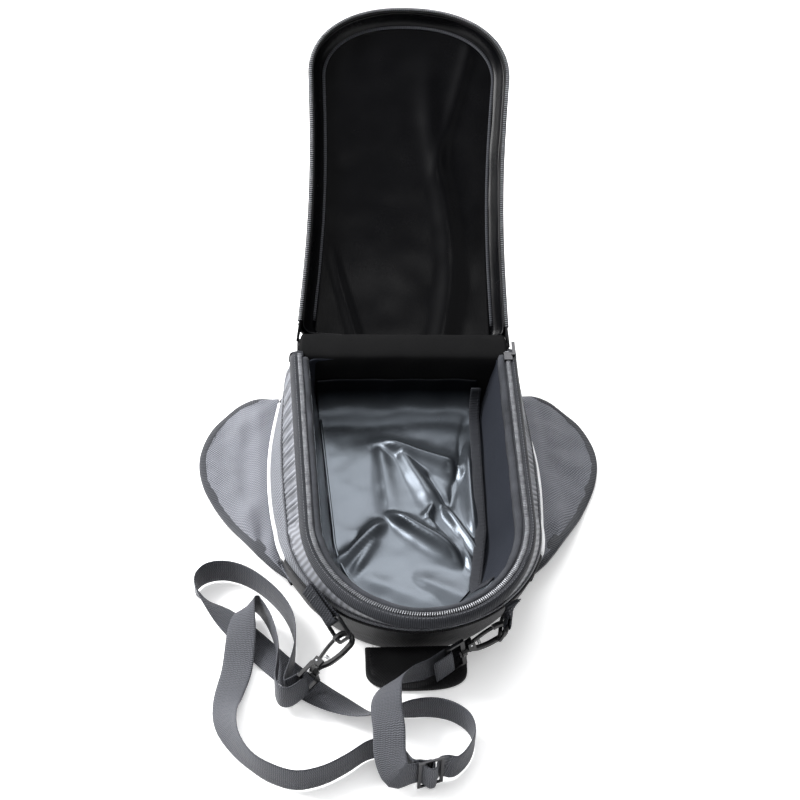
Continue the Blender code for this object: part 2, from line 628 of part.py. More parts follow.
def strap_tab(side, place):
    """Webbing sewn to the wall in two layers, folded round the ring's bar."""
    root, near = np.array(place["root"]), np.array(place["near"])
    reach = near - root
    bar = square_to(place["width"], np.array(place["far"]) - near)
    forward = square_to(reach, bar)
    width_root = square_to(place["root_width"], reach)
    layers = {1: [], -1: []}
    for share in (0.0, 0.12, 0.24, 0.36, 0.48, 0.6, 0.71, 0.82):
        width = unit(width_root + (bar - width_root) * min(1.0, share / 0.6))
        lift = np.cross(unit(reach), width) * (0.0010 + 0.0010 * share)
        for layer, rows in layers.items():
            rows.append((root + reach * share + layer * lift, width))
    normal = np.cross(forward, bar)
    wrap = [(near + WRAP * (normal * math.sin(turn) + forward * math.cos(turn)), bar)
            for turn in np.radians((85, 42, 0, -42, -85))]
    path, widths = zip(*(layers[1] + wrap + layers[-1][::-1]))
    sweep("strap_tab_" + side, path, widths, TAB_HALF, WEB_THICK / 2, "webbing", corners=4)


def ring(side, place):
    """A rectangular ring; its frame is on the bar that the tab holds."""
    reach = np.array(place["far"]) - np.array(place["near"])
    frame = frame_at("ring_frame_" + side, place["near"], reach, place["width"])
    long, half, corner = np.linalg.norm(reach), TAB_HALF + 0.0026, 0.0032
    path = []
    for x, z, start in ((long - corner, half - corner, 0), (corner, half - corner, 90),
                        (corner, -half + corner, 180), (long - corner, -half + corner, 270)):
        for turn in np.radians(start + np.arange(0, 91, 30)):
            path.append((x + corner * math.cos(turn), 0.0, z + corner * math.sin(turn)))
    widths = np.tile((0.0, 1.0, 0.0), (len(path), 1))
    sweep("ring_" + side, path, widths, RING_BAR, RING_BAR, "plastic", closed=True, parent=frame)


def hook(side, place):
    """A swivel snap hook: body, gate on its pin, gate spring, and the eye that holds the strap."""
    axis = unit(place["hook"])
    origin = np.array(place["far"]) + 0.0010 * axis
    frame = frame_at("hook_frame_" + side, origin, axis, place["width"])
    level = (0.0, 0.0, 1.0)
    spine = smooth_curve([(0.0308, 0.0000, 0), (0.0270, 0.0012, 0), (0.0215, 0.0042, 0),
                          (0.0120, 0.0062, 0), (0.0050, 0.0065, 0)], 2)
    turn = np.radians(np.arange(90, 271, 22.5))
    head = np.stack([0.0064 * np.cos(turn), 0.0064 * np.sin(turn), 0 * turn], 1)
    path = np.vstack([spine, head, [(0.0045, -0.0066, 0)]])
    widths = np.cross(tangents(path), level)
    body = sweep("hook_" + side, path, widths, HOOK_HALF_WIDTH, HOOK_HALF_THICK, "plastic",
                 corners=8, parent=frame)
    ear = box("hook_ear", (0.0238, -0.0066, -0.0036), (0.0300, 0.0010, 0.0036), parent=frame)
    stem = rod("hook_stem", (0.0300, 0, 0), (0.0374, 0, 0), 0.0019, parent=frame)
    stop = rod("hook_stop", (0.0370, 0, 0), (0.0386, 0, 0), 0.0031, parent=frame)
    slot = box("hook_slot", (0.0180, -0.0090, -0.0023), (0.0320, -0.0014, 0.0023), parent=frame)
    bore = rod("hook_bore", (0.0270, -0.0040, -0.01), (0.0270, -0.0040, 0.01), 0.0011, parent=frame)
    for extra in (ear, stem, stop):
        boolean(body, extra, "UNION")
    boolean(body, slot, "DIFFERENCE")
    boolean(body, bore, "DIFFERENCE")

    pivot = frame_at("gate_frame_" + side, (0, 0, 0), (1, 0, 0), level)
    pivot.parent = frame
    pivot.location = (0.0270, -0.0040, 0.0)
    line = smooth_curve([(-0.0004, 0.0, 0), (-0.0080, -0.0014, 0), (-0.0150, -0.0024, 0),
                         (-0.0217, -0.0027, 0)], 2)
    gate = sweep("gate_" + side, line, np.cross(tangents(line), level), 0.0013, 0.0018, "plastic",
                 parent=pivot)
    barrel = rod("gate_barrel", (0, 0, -0.0019), (0, 0, 0.0019), 0.0020, parent=pivot)
    hole = rod("gate_hole", (0, 0, -0.01), (0, 0, 0.01), 0.0011, parent=pivot)
    boolean(gate, barrel, "UNION")
    boolean(gate, hole, "DIFFERENCE")
    rod("gate_pin_" + side, (0.0270, -0.0040, -0.0035), (0.0270, -0.0040, 0.0035), 0.0008, parent=frame)
    gate_spring(side, frame)
    hook_eye(side, origin, axis, place)


def gate_spring(side, frame):
    """A small coil spring that pushes the gate shut, standing between spine and gate."""
    turns, points = 4, 8
    count = np.arange(turns * points + 1)
    turn = count * 2 * math.pi / points
    curve = bpy.data.curves.new("gate_spring_" + side, "CURVE")
    curve.dimensions = "3D"
    curve.bevel_depth = 0.00022
    curve.bevel_resolution = 1
    curve.use_fill_caps = True
    curve.resolution_u = 1
    line = curve.splines.new("POLY")
    line.points.add(len(count) - 1)
    for point, i, angle in zip(line.points, count, turn):
        point.co = (0.0190 + 0.0012 * math.cos(angle), -0.0024 + 0.0034 * i / count[-1],
                    0.0012 * math.sin(angle), 1.0)
    item = bpy.data.objects.new("gate_spring_" + side, curve)
    PART.objects.link(item)
    curve.materials.append(material("gate_spring_" + side, *COLOURS["metal"]))
    item.parent = frame


def hook_eye(side, origin, axis, place):
    """The rectangular eye on the swivel, which holds the strap."""
    frame = frame_at("eye_frame_" + side, origin, axis, place["eye"])
    eye = box("hook_eye_" + side, (0.0326, -0.0014, -0.0152), (0.0490, 0.0014, 0.0152), parent=frame)
    window = box("eye_window", (0.0364, -0.01, -0.0130), (0.0466, 0.01, 0.0130), parent=frame)
    boss = rod("eye_boss", (0.0324, 0, 0), (0.0362, 0, 0), 0.0040, parent=frame)
    bore = rod("eye_bore", (0.0310, 0, 0), (0.0370, 0, 0), 0.0023, parent=frame)
    boolean(eye, window, "DIFFERENCE")
    boolean(eye, boss, "UNION")
    boolean(eye, bore, "DIFFERENCE")


def eye_bar(side):
    """Middle of the eye's outer bar, where the strap turns."""
    place = HARDWARE[side]
    return np.array(place["far"]) + (0.0010 + 0.0478) * unit(place["hook"])


# --- the strap ------------------------------------------------------------------------------------------
ADJUSTER = (0.0030, -0.2555, 0.0165)
ADJUSTER_RUN = (0.955, 0.296, 0.0)
ADJUSTER_BAR = 0.0090     # from the middle bar to each outer bar

# the strap's middle line and the tilt of its width: 0 lies flat, 90 stands on edge
FRONT_BAND = ((0.006, -0.1615, 0.0210, 88), (-0.010, -0.169, 0.0240, 75), (-0.023, -0.182, 0.0300, 48),
              (-0.028, -0.204, 0.0340, 18), (-0.027, -0.226, 0.0320, 8), (-0.027, -0.245, 0.0250, 20),
              (-0.022, -0.2580, 0.0180, 62))
RIGHT_LOOP = ((0.023, -0.2485, 0.0140, 90), (0.033, -0.238, 0.0135, 90), (0.039, -0.223, 0.0135, 90),
              (0.036, -0.208, 0.0135, 90), (0.024, -0.197, 0.0135, 90), (0.008, -0.1925, 0.0135, 90),
              (-0.010, -0.1935, 0.0130, 84), (-0.027, -0.1960, 0.0110, 62), (-0.045, -0.1935, 0.0085, 40),
              (-0.064, -0.181, 0.0050, 18))
RUN_A = ((-0.085, -0.164, 0.0025, 5), (-0.107, -0.142, 0.0020, 2), (-0.129, -0.116, 0.0020, 3),
         (-0.150, -0.093, 0.0050, 18), (-0.167, -0.078, 0.0105, 55), (-0.1765, -0.064, 0.0135, 88),
         (-0.1690, -0.051, 0.0135, 90), (-0.153, -0.0475, 0.0135, 90), (-0.135, -0.054, 0.0135, 90),
         (-0.118, -0.069, 0.0135, 90), (-0.104, -0.089, 0.0135, 88), (-0.0965, -0.112, 0.0150, 88),
         (-0.0965, -0.138, 0.0180, 90), (-0.1005, -0.158, 0.0195, 90), (-0.1040, -0.170, 0.0200, 90),
         (-0.1025, -0.178, 0.0205, 90))
RUN_B = ((-0.1000, -0.1845, 0.0205, 90), (-0.1085, -0.183, 0.0200, 90), (-0.1120, -0.172, 0.0190, 90),
         (-0.1105, -0.155, 0.0180, 90), (-0.1095, -0.135, 0.0168, 90), (-0.1145, -0.110, 0.0166, 90),
         (-0.1230, -0.0910, 0.0166, 88), (-0.1305, -0.0880, 0.0190, 72), (-0.1365, -0.0985, 0.0180, 38),
         (-0.1390, -0.1180, 0.0110, 12), (-0.1420, -0.145, 0.0050, 6), (-0.1485, -0.172, 0.0045, 18),
         (-0.1500, -0.196, 0.0075, 45), (-0.1430, -0.220, 0.0110, 75), (-0.1310, -0.238, 0.0132, 90),
         (-0.1160, -0.2500, 0.0135, 90), (-0.0970, -0.2570, 0.0135, 90), (-0.0770, -0.2530, 0.0135, 90),
         (-0.0590, -0.2430, 0.0135, 90), (-0.0420, -0.2310, 0.0132, 90), (-0.0270, -0.2300, 0.0132, 90),
         (-0.0165, -0.2400, 0.0140, 90))


def round_bar(side, start, end, steps=5):
    """Turn of the strap round the bar of a hook's eye.

    Angles in degrees run about the bar, from the hook's own direction.  Each point comes with
    the bar's direction, which the strap's width follows.
    """
    ahead = unit(HARDWARE[side]["hook"])
    bar = square_to(HARDWARE[side]["eye"], ahead)
    aside = np.cross(bar, ahead)
    middle = eye_bar(side)
    turns = np.radians(np.linspace(start, end, steps))
    return [(*(middle + 0.0030 * (math.cos(a) * ahead + math.sin(a) * aside)), *bar) for a in turns]


def beside_bar(side, along, aside_by):
    """A point of the strap near the bar, measured along the hook and across it."""
    ahead = unit(HARDWARE[side]["hook"])
    bar = square_to(HARDWARE[side]["eye"], ahead)
    return (*(eye_bar(side) + along * ahead + aside_by * np.cross(bar, ahead)), *bar)


def adjuster_points(places):
    """Points beside the adjuster: along its run and across it, towards the front."""
    run = np.array(ADJUSTER_RUN)
    across = np.array((run[1], -run[0], 0.0))
    return [(*(np.array(ADJUSTER) + along * run + aside * across)[:2], ADJUSTER[2], 90)
            for along, aside in places]


def strap_route():
    """The whole strap, from its sewn end at the right hook to its sewn end on the adjuster."""
    start = [beside_bar("right", 0.0150, 0.0042)] + round_bar("right", 100, 260)
    start += [beside_bar("right", 0.0060, -0.0030)]
    through = adjuster_points(((-0.0120, -0.0034), (-0.0085, -0.0030), (-0.0050, 0.0002),
                               (-0.0022, 0.0048), (0.0022, 0.0048), (0.0050, 0.0002),
                               (0.0085, -0.0030), (0.0125, -0.0030)))
    around_left = round_bar("left", 260, 100)
    sewn = adjuster_points(((-0.0110, -0.0066), (-0.0060, -0.0050), (-0.0022, -0.0032),
                            (0.0012, -0.0027), (0.0027, -0.0004), (0.0021, 0.0018), (0.0006, 0.0026)))
    return (start + list(FRONT_BAND) + through + list(RIGHT_LOOP) + list(RUN_A) + around_left
            + list(RUN_B) + sewn)


def strap_line():
    """The strap's middle line and its width directions; it never sinks into the ground."""
    route = strap_route()
    path = np.array([point[:3] for point in route])
    level = flat_widths(path)
    widths = []
    for point, across in zip(route, level):
        tilt = math.radians(point[3])
        widths.append(across * math.cos(tilt) + np.array((0, 0, math.sin(tilt)))
                      if len(point) == 4 else np.array(point[3:]))
    widths = np.array(widths)
    along = tangents(path)
    widths -= along * np.sum(widths * along, 1)[:, None]
    widths /= np.linalg.norm(widths, axis=1)[:, None]
    upright = np.abs(widths[:, 2])
    lowest = WEB_WIDTH / 2 * upright + WEB_THICK / 2 * np.sqrt(1 - upright ** 2) + GAP
    path[:, 2] = np.maximum(path[:, 2], lowest)
    return path, widths


def strap():
    path, widths = strap_line()
    sweep("strap", path, widths, WEB_WIDTH / 2, WEB_THICK / 2, "webbing", corners=4)


def adjuster():
    """The three-bar slide that sets the strap's length."""
    frame = frame_at("adjuster_frame", ADJUSTER, ADJUSTER_RUN, (0, 0, 1))
    half_long, half_high = ADJUSTER_BAR + 0.0012, 0.0150
    plate = box("strap_adjuster", (-half_long, -0.0008, -half_high), (half_long, 0.0008, half_high),
                "metal", frame)
    for name, low, high in (("adjuster_window_a", -0.0078, -0.0011), ("adjuster_window_b", 0.0011, 0.0078)):
        window = box(name, (low, -0.01, -0.0132), (high, 0.01, 0.0132), parent=frame)
        boolean(plate, window, "DIFFERENCE")


# --- build ----------------------------------------------------------------------------------------------
clear_scene()
PART = make_collection(COLLECTION)
TOOLS = make_collection("guides")
base()
outer_wall()
padding_and_lining()
liner()
mouth()
rear_web()
zip_slider()
lid()
for side_sign in (-1, 1):
    wing(side_sign)
flap()
for side_name, side_place in HARDWARE.items():
    strap_tab(side_name, side_place)
    ring(side_name, side_place)
    hook(side_name, side_place)
strap()
adjuster()
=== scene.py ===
"""Looks of the motorcycle tank bag: fabric, zips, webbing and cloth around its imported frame."""
import json
import math

import bpy
import numpy as np
from mathutils import Matrix, Vector, noise

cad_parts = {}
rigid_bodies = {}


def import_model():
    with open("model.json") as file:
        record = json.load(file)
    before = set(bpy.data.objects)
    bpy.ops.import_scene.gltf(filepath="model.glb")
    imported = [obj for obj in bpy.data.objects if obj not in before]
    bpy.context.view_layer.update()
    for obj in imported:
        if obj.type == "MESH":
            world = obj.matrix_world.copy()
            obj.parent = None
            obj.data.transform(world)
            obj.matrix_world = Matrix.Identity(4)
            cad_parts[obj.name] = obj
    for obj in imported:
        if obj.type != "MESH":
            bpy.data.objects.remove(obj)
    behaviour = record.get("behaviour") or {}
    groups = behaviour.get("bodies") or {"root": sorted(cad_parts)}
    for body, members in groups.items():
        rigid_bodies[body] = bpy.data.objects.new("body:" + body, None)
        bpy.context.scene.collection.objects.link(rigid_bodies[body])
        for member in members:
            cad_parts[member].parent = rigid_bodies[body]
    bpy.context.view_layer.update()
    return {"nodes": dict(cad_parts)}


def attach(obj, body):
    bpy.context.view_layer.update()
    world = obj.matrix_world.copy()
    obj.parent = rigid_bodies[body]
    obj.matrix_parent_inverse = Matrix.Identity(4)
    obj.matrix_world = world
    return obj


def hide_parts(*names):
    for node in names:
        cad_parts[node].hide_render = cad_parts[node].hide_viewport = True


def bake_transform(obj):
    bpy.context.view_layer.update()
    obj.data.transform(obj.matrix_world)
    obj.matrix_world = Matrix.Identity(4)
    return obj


for spare in list(bpy.data.objects):
    bpy.data.objects.remove(spare)
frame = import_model()

# --- the shape of the bag, in metres, as its frame has it ---
RIM_Z, RIM_HALF, REAR_HALF = 0.0768, 0.0875, 0.0925
FRONT_Y, REAR_Y = -0.153, 0.15
RIM_CENTRE_Y, BASE_CENTRE_Y, LEAN = -0.05, 0.0, 0.005
WALL = ((0.0, 0.0195, -0.027), (0.01, 0.025, -0.024), (0.022, 0.027, -0.0215),
        (0.036, 0.024, -0.016), (0.052, 0.0175, -0.008), (0.064, 0.0115, 0.001),
        (0.0715, 0.008, 0.0055))
INSIDE = ((0.0, -0.0195, -0.05), (0.02, -0.0165, -0.04), (0.05, -0.0115, -0.021),
          (0.0725, -0.0065, -0.0075))
BELLY, WALL_REAR_Y, WALL_CORNER = 0.007, 0.1575, 0.014
PIPING_Z, PIPING_RISE, BAND_Z = 0.022, 0.018, 0.0515
HINGE = np.array((LEAN, 0.159, 0.0785))
HINGE_YAW, LID_OPEN = math.radians(-1.4), math.radians(-140.0)
LID_COIL_Z, LID_WAIST, LID_END_Y, LID_CENTRE_Y, LID_END_HALF = 0.0812, 0.005, -0.153, -0.091, 0.09
WING_AXIS_X, WING_AXIS_Z, WING_MID_Z = 0.1225, 0.016, 0.0028
WING_OUTLINE = ((0.1239, 0.159), (0.147, 0.154), (0.1675, 0.132), (0.1785, 0.095),
                (0.174, 0.059), (0.156, 0.019), (0.139, -0.012), (0.1262, -0.033))
FLAP_AXIS_Y, FLAP_AXIS_Z, FLAP_HALF, FLAP_END_Y = -0.1345, 0.009, 0.0405, -0.1675
WEB_WIDTH, WEB_THICK, TAB_HALF, RING_BAR = 0.025, 0.0014, 0.0095, 0.0015
SIDE, FRONT, CORNER, REAR = 40, 72, 5, 24
MOUTH = 2 * SIDE + FRONT + 1
RIB_PITCH = 0.0062
FLOOR_Z, BEND_Y, BEND = 0.0168, 0.1165, 0.025
LINER_SIDE, LINER_FRONT, SEAM_AT = 70, 90, 138
FELT_REAR_Y, FELT_CORNER = 0.149, 0.01
BAND_TOP_Z, REFLECT_Y, RIB_RISE, WALL_SKIN, FINE = 0.0703, -0.062, 0.0014, 0.0006, 400
BAND_MID_Z = (BAND_Z + BAND_TOP_Z) / 2


# --- materials ---
class Nodes:
    """Short hand for building a node tree."""

    def __init__(self, name, colour, rough, metallic=0.0, sheen=0.0, specular=0.5):
        self.material = bpy.data.materials.new(name)
        self.material.use_nodes = True
        self.tree = self.material.node_tree
        self.shader = self.tree.nodes["Principled BSDF"]
        for socket, value in (("Base Color", (*colour, 1.0)), ("Roughness", rough),
                              ("Metallic", metallic), ("Sheen Weight", sheen),
                              ("Sheen Roughness", 0.5), ("Specular IOR Level", specular)):
            self.put(socket, value)

    def put(self, socket, value):
        self.shader.inputs[socket].default_value = value

    def add(self, kind, **values):
        node = self.tree.nodes.new(kind)
        for key, value in values.items():
            setattr(node, key, value)
        return node

    def link(self, source, target):
        self.tree.links.new(source, target)

    def math(self, operation, a, b=None, c=None):
        node = self.add("ShaderNodeMath", operation=operation)
        for socket, value in zip(node.inputs, (a, b, c)):
            if value is None:
                continue
            if isinstance(value, (int, float)):
                socket.default_value = value
            else:
                self.link(value, socket)
        return node.outputs[0]

    def place(self, coords):
        source = self.add("ShaderNodeTexCoord")
        split = self.add("ShaderNodeSeparateXYZ")
        self.link(source.outputs[coords], split.inputs[0])
        return source.outputs[coords], split.outputs

    def cloud(self, vector, size, detail):
        node = self.add("ShaderNodeTexNoise")
        node.inputs["Scale"].default_value = 1.0 / size
        node.inputs["Detail"].default_value = detail
        self.link(vector, node.inputs["Vector"])
        return node.outputs["Fac"]

    def mix(self, factor, low, high):
        node = self.add("ShaderNodeMix", data_type="RGBA")
        self.link(factor, node.inputs[0])
        for socket, colour in ((node.inputs[6], low), (node.inputs[7], high)):
            if isinstance(colour, tuple):
                socket.default_value = (*colour, 1.0)
            else:
                self.link(colour, socket)
        return node.outputs[2]

    def bump(self, height, distance, strength=1.0, normal=None):
        node = self.add("ShaderNodeBump")
        node.inputs["Distance"].default_value = distance
        node.inputs["Strength"].default_value = strength
        self.link(height, node.inputs["Height"])
        if normal is not None:
            self.link(normal, node.inputs["Normal"])
        return node.outputs[0]


def weave_height(n, kind, pitch, u, v):
    """Height of the weave, 0 to 1, from coordinates in metres."""
    def plus(a, b):
        return n.math("ADD", a, b)

    def times(a, b):
        return n.math("MULTIPLY", a, b)

    def sine(a, scale):
        return n.math("SINE", times(a, scale))

    turn, slant, zigzag, fine = math.pi / pitch, 42.0, 240.0, 0.0012
    if kind == "plain":
        wave = times(sine(u, turn), sine(v, turn))
    elif kind == "twill":
        wave = plus(times(sine(plus(u, v), 2 * turn), 0.75),
                    times(sine(n.math("SUBTRACT", u, v), 2 * turn), 0.25))
    elif kind == "pucker":
        fold = plus(n.math("DIVIDE", u, RIB_PITCH), times(v, slant))
        wave = plus(times(sine(fold, 2 * math.pi), 0.75), times(sine(plus(u, v), 2 * turn), 0.25))
    elif kind == "rib":
        wave = sine(u, 2 * turn)
    else:
        fold = n.math("ABSOLUTE", n.math("SUBTRACT", n.math("FRACT", times(v, zigzag)), 0.5))
        thread = n.math("SINE", plus(times(u, 2 * turn), times(fold, 5.5)))
        wave = plus(times(thread, 0.7), times(sine(v, 2 * math.pi / fine), 0.3))
    return n.math("MULTIPLY_ADD", wave, 0.5, 0.5)


def cloth(name, dark, light, rough, kind=None, pitch=0.0012, depth=0.0003, sheen=0.0, coords="UV",
          fuzz=0.0, blotch=0.25, specular=0.5, metallic=0.0, painted_shade_heights=None):
    """A fabric: weave, uneven dye and fine fuzz, all procedural, with painted shade in the weave's valleys
    and, where heights are given, painted shade that blends it to near black above them.
    """
    n = Nodes(name, light, rough, metallic, sheen, specular)
    u, v, w = n.place(coords)[1]
    spot, level = n.place("Object")
    patches = n.cloud(spot, 0.022, 4.0)
    grit = n.cloud(spot, 0.0007, 2.0)
    shade = n.math("MULTIPLY_ADD", patches, blotch * 2, 0.5 - blotch)
    shade = n.math("ADD", shade, n.math("MULTIPLY_ADD", grit, 0.5, -0.25))
    height = grit
    if kind:
        if coords == "Object":
            v = n.math("ADD", v, w)
        height = weave_height(n, kind, pitch, u, v)
        # Painted shade: the colour follows the weave's height and is darker in its valleys, as if the hollows
        # between threads and between the band's puckers were shaded.
        shade = n.math("ADD", n.math("MULTIPLY", shade, 0.4), n.math("MULTIPLY", height, 0.6))
    shade = n.math("MINIMUM", n.math("MAXIMUM", shade, 0.0), 1.0)
    colour = n.mix(shade, dark, light)
    # Painted shade: from the lower height to the upper one the colour blends towards near black, standing in
    # for the open lid's shadow on the rear wall.
    if painted_shade_heights:
        low, high = painted_shade_heights
        painted_shade = n.math("DIVIDE", n.math("SUBTRACT", level[2], low), high - low)
        painted_shade = n.math("MINIMUM", n.math("MAXIMUM", painted_shade, 0.0), 0.93)
        colour = n.mix(painted_shade, colour, (0.002, 0.002, 0.003))
    n.link(colour, n.shader.inputs["Base Color"])
    normal = n.bump(grit, max(fuzz, 0.00005), 0.5)
    if kind:
        normal = n.bump(height, depth, 0.8, normal)
    n.link(normal, n.shader.inputs["Normal"])
    wear = n.math("MULTIPLY_ADD", patches, 0.16, rough - 0.08)
    n.link(wear, n.shader.inputs["Roughness"])
    return n.material


def moulded(name, dark, light, rough, metallic=0.0):
    """Moulded plastic or plated metal: fine grain, handling marks and uneven gloss."""
    n, grain = Nodes(name, light, rough, metallic), 0.00004
    spot = n.place("Object")[0]
    marks = n.cloud(spot, 0.004, 5.0)
    n.link(n.mix(marks, dark, light), n.shader.inputs["Base Color"])
    n.link(n.math("MULTIPLY_ADD", marks, 0.25, rough - 0.12), n.shader.inputs["Roughness"])
    n.link(n.bump(n.cloud(spot, 0.0006, 2.0), grain, 0.6), n.shader.inputs["Normal"])
    return n.material


LOOK = {
    "nylon": cloth("nylon_weave", (0.02, 0.022, 0.028), (0.23, 0.238, 0.272), 0.48, "plain", 0.0014,
                   0.001, sheen=0.05, specular=0.25),
    "boxing": cloth("boxing_weave", (0.002, 0.002, 0.003), (0.014, 0.014, 0.017), 0.5, "plain", 0.0013,
                    0.0005, sheen=0.02, specular=0.35),
    "black": cloth("black_weave", (0.0012, 0.0012, 0.0016), (0.006, 0.006, 0.0075), 0.62, "plain", 0.0012,
                   0.0003, sheen=0.01, specular=0.2),
    "mesh": cloth("side_mesh", (0.008, 0.009, 0.012), (0.24, 0.25, 0.28), 0.5, "twill", 0.0034, 0.0012,
                  sheen=0.04, specular=0.25),
    "rib": cloth("ribbed_band", (0.008, 0.009, 0.012), (0.25, 0.26, 0.29), 0.44, "pucker", 0.0016, 0.0002,
                 sheen=0.04, specular=0.3),
    "tape": cloth("zip_tape", (0.004, 0.0045, 0.006), (0.034, 0.036, 0.043), 0.58, "rib", 0.0016, 0.0003,
                  sheen=0.02, fuzz=0.0001, specular=0.14),
    "binding": cloth("woven_binding", (0.006, 0.0065, 0.008), (0.062, 0.065, 0.076), 0.5, "rib", 0.002,
                     0.0005, sheen=0.03, specular=0.2),
    "black_binding": cloth("black_binding", (0.002, 0.002, 0.0025), (0.012, 0.012, 0.0135), 0.6, "rib",
                           0.0018, 0.0003, sheen=0.01, specular=0.2),
    "fuzzy": cloth("fuzzy_binding", (0.003, 0.0035, 0.0045), (0.06, 0.063, 0.073), 0.9, None, fuzz=0.0012,
                   sheen=0.04, blotch=0.5, specular=0.12),
    "felt": cloth("wall_felt", (0.004, 0.005, 0.0075), (0.024, 0.027, 0.036), 0.95, None, fuzz=0.0007,
                  sheen=0.02, blotch=0.12, specular=0.06),
    "liner": cloth("coated_liner", (0.05, 0.058, 0.068), (0.108, 0.12, 0.136), 0.31, "plain", 0.0006,
                   0.00003, blotch=0.3, metallic=0.78),
    # The floor sheet's copy of the liner, darkened towards near black as it climbs the rear wall: painted
    # shade of the open lid.
    "liner_floor": cloth("coated_liner_floor", (0.05, 0.058, 0.068), (0.108, 0.12, 0.136), 0.31, "plain",
                         0.0006, 0.00003, blotch=0.3, metallic=0.78, specular=0.2,
                         painted_shade_heights=(0.021, 0.042)),
    "lining": cloth("glossy_lining", (0.001, 0.001, 0.0013), (0.0024, 0.0025, 0.0032), 0.25, "plain",
                    0.0006, 0.00002, blotch=0.2, specular=0.12),
    "piping": cloth("reflective_piping", (0.66, 0.67, 0.69), (0.92, 0.92, 0.93), 0.42, "rib", 0.0016,
                    0.0001),
    "webbing": cloth("ribbed_webbing", (0.003, 0.0035, 0.005), (0.15, 0.155, 0.175), 0.48, "web", 0.0016,
                     0.0008, sheen=0.02, blotch=0.12, specular=0.16),
    "tab": cloth("brushed_webbing", (0.004, 0.0045, 0.006), (0.05, 0.053, 0.062), 0.85, "web", 0.0022,
                 0.0007, sheen=0.02, fuzz=0.0006, specular=0.12),
    "thread": cloth("thread", (0.03, 0.032, 0.037), (0.15, 0.155, 0.175), 0.5, "rib", 0.0004, 0.00008,
                    coords="Object"),
    "coil": moulded("zip_teeth", (0.05, 0.052, 0.06), (0.5, 0.51, 0.54), 0.2, metallic=0.4),
    "plastic": moulded("black_acetal", (0.002, 0.002, 0.0025), (0.006, 0.006, 0.007), 0.3),
    "metal": moulded("plated_metal", (0.34, 0.35, 0.37), (0.66, 0.67, 0.69), 0.28, metallic=1.0),
    "gunmetal": moulded("dark_plating", (0.012, 0.012, 0.013), (0.05, 0.05, 0.055), 0.35, metallic=0.6),
    # A real inner lining at the hinge, made near black and matte as painted shade: it stands in for the open
    # lid's shadow on the rear wall.
    "shade": cloth("black_lining_painted_shade", (0.0006, 0.0006, 0.0008), (0.0022, 0.0022, 0.0026), 0.8, None,
                   fuzz=0.0002, specular=0.15),
    "foam": cloth("foam", (0.03, 0.03, 0.033), (0.07, 0.07, 0.075), 0.95, None, fuzz=0.0005,
                  coords="Object"),
    "board": moulded("stiffener_board", (0.01, 0.01, 0.011), (0.02, 0.02, 0.022), 0.55),
    "black_cad": cloth("base_fabric", (0.002, 0.002, 0.003), (0.012, 0.012, 0.014), 0.7, "plain", 0.001,
                       0.0003, coords="Object"),
    "cad_binding": cloth("plain_binding", (0.015, 0.016, 0.019), (0.08, 0.083, 0.095), 0.62, "plain",
                         0.0012, 0.0003, coords="Object"),
}


# --- mesh builders ---
def lengths(points, closed=False):
    steps = np.diff(np.vstack([points, points[:1]]) if closed else points, axis=0)
    return np.concatenate([[0.0], np.cumsum(np.linalg.norm(steps, axis=1))])


def linked(name, data):
    item = bpy.data.objects.new(name, data)
    bpy.context.scene.collection.objects.link(item)
    return item


def placed(name, mesh, look):
    """A mesh as a smooth piece with its look."""
    mesh.shade_smooth()
    mesh.materials.append(LOOK[look])
    item = linked(name, mesh)
    return item


def grid(name, rows, look, thick=0.0, closed=False, caps=False, swap=False):
    """A smooth surface through rows of points, with its texture measured in metres."""
    rows = np.asarray(rows, float)
    count, width = rows.shape[:2]
    span = width if closed else width - 1
    u = lengths(rows[count // 2], closed)
    v = lengths(rows[:, width // 2])
    faces, uvs = [], []
    for i in range(count - 1):
        for j in range(span):
            k = (j + 1) % width
            faces.append((i * width + j, i * width + k, (i + 1) * width + k, (i + 1) * width + j))
            corners = ((u[j], v[i]), (u[j + 1], v[i]), (u[j + 1], v[i + 1]), (u[j], v[i + 1]))
            uvs += [(b, a) for a, b in corners] if swap else corners
    if caps:
        for start in (0, (count - 1) * width):
            ring = list(range(start, start + width))
            faces.append(tuple(ring[::-1] if start == 0 else ring))
            uvs += [(0.0, 0.0)] * width
    mesh = bpy.data.meshes.new(name)
    mesh.from_pydata(rows.reshape(-1, 3).tolist(), [], faces)
    layer = mesh.uv_layers.new(name="UVMap")
    layer.data.foreach_set("uv", np.array(uvs, float).ravel())
    mesh.validate()
    item = placed(name, mesh, look)
    if thick:
        solid = item.modifiers.new("thickness", "SOLIDIFY")
        solid.thickness = thick
        solid.offset = 0.0
        solid.use_even_offset = False
    return item


def tangents(path, closed=False):
    path = np.asarray(path, float)
    along = np.roll(path, -1, 0) - np.roll(path, 1, 0) if closed else np.gradient(path, axis=0)
    return along / np.linalg.norm(along, axis=1)[:, None]


def unit(vector):
    vector = np.array(vector, float)
    return vector / np.linalg.norm(vector)


def square_to(vector, direction):
    vector, direction = np.array(vector, float), unit(direction)
    return unit(vector - vector.dot(direction) * direction)


def square_line(path, widths):
    """Widths made square to the path and unit long."""
    along = tangents(path)
    widths = widths - along * np.sum(widths * along, 1)[:, None]
    return widths / np.linalg.norm(widths, axis=1)[:, None]


def flat_widths(path, closed=False):
    along = tangents(path, closed)
    across = np.stack([-along[:, 1], along[:, 0], np.zeros(len(along))], 1)
    return across / np.linalg.norm(across, axis=1)[:, None]


def upright(path):
    return np.tile((0.0, 0.0, 1.0), (len(path), 1))


def pushed(row, way, amount):
    """A row moved by an amount for each of its points."""
    return row + way * np.broadcast_to(amount, (len(row),))[:, None]


def piece(item, body, *nodes):
    """The piece moves with a body, and stands for the nodes that are named."""
    if nodes:
        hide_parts(*nodes)
    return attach(item, body)


def bent(item, body, start, end, *nodes):
    """For cloth between the bag and another body: hides the nodes it stands for and bakes its place into its
    mesh.
    """
    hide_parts(*nodes)
    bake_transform(item)
    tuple(start)
    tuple(end)


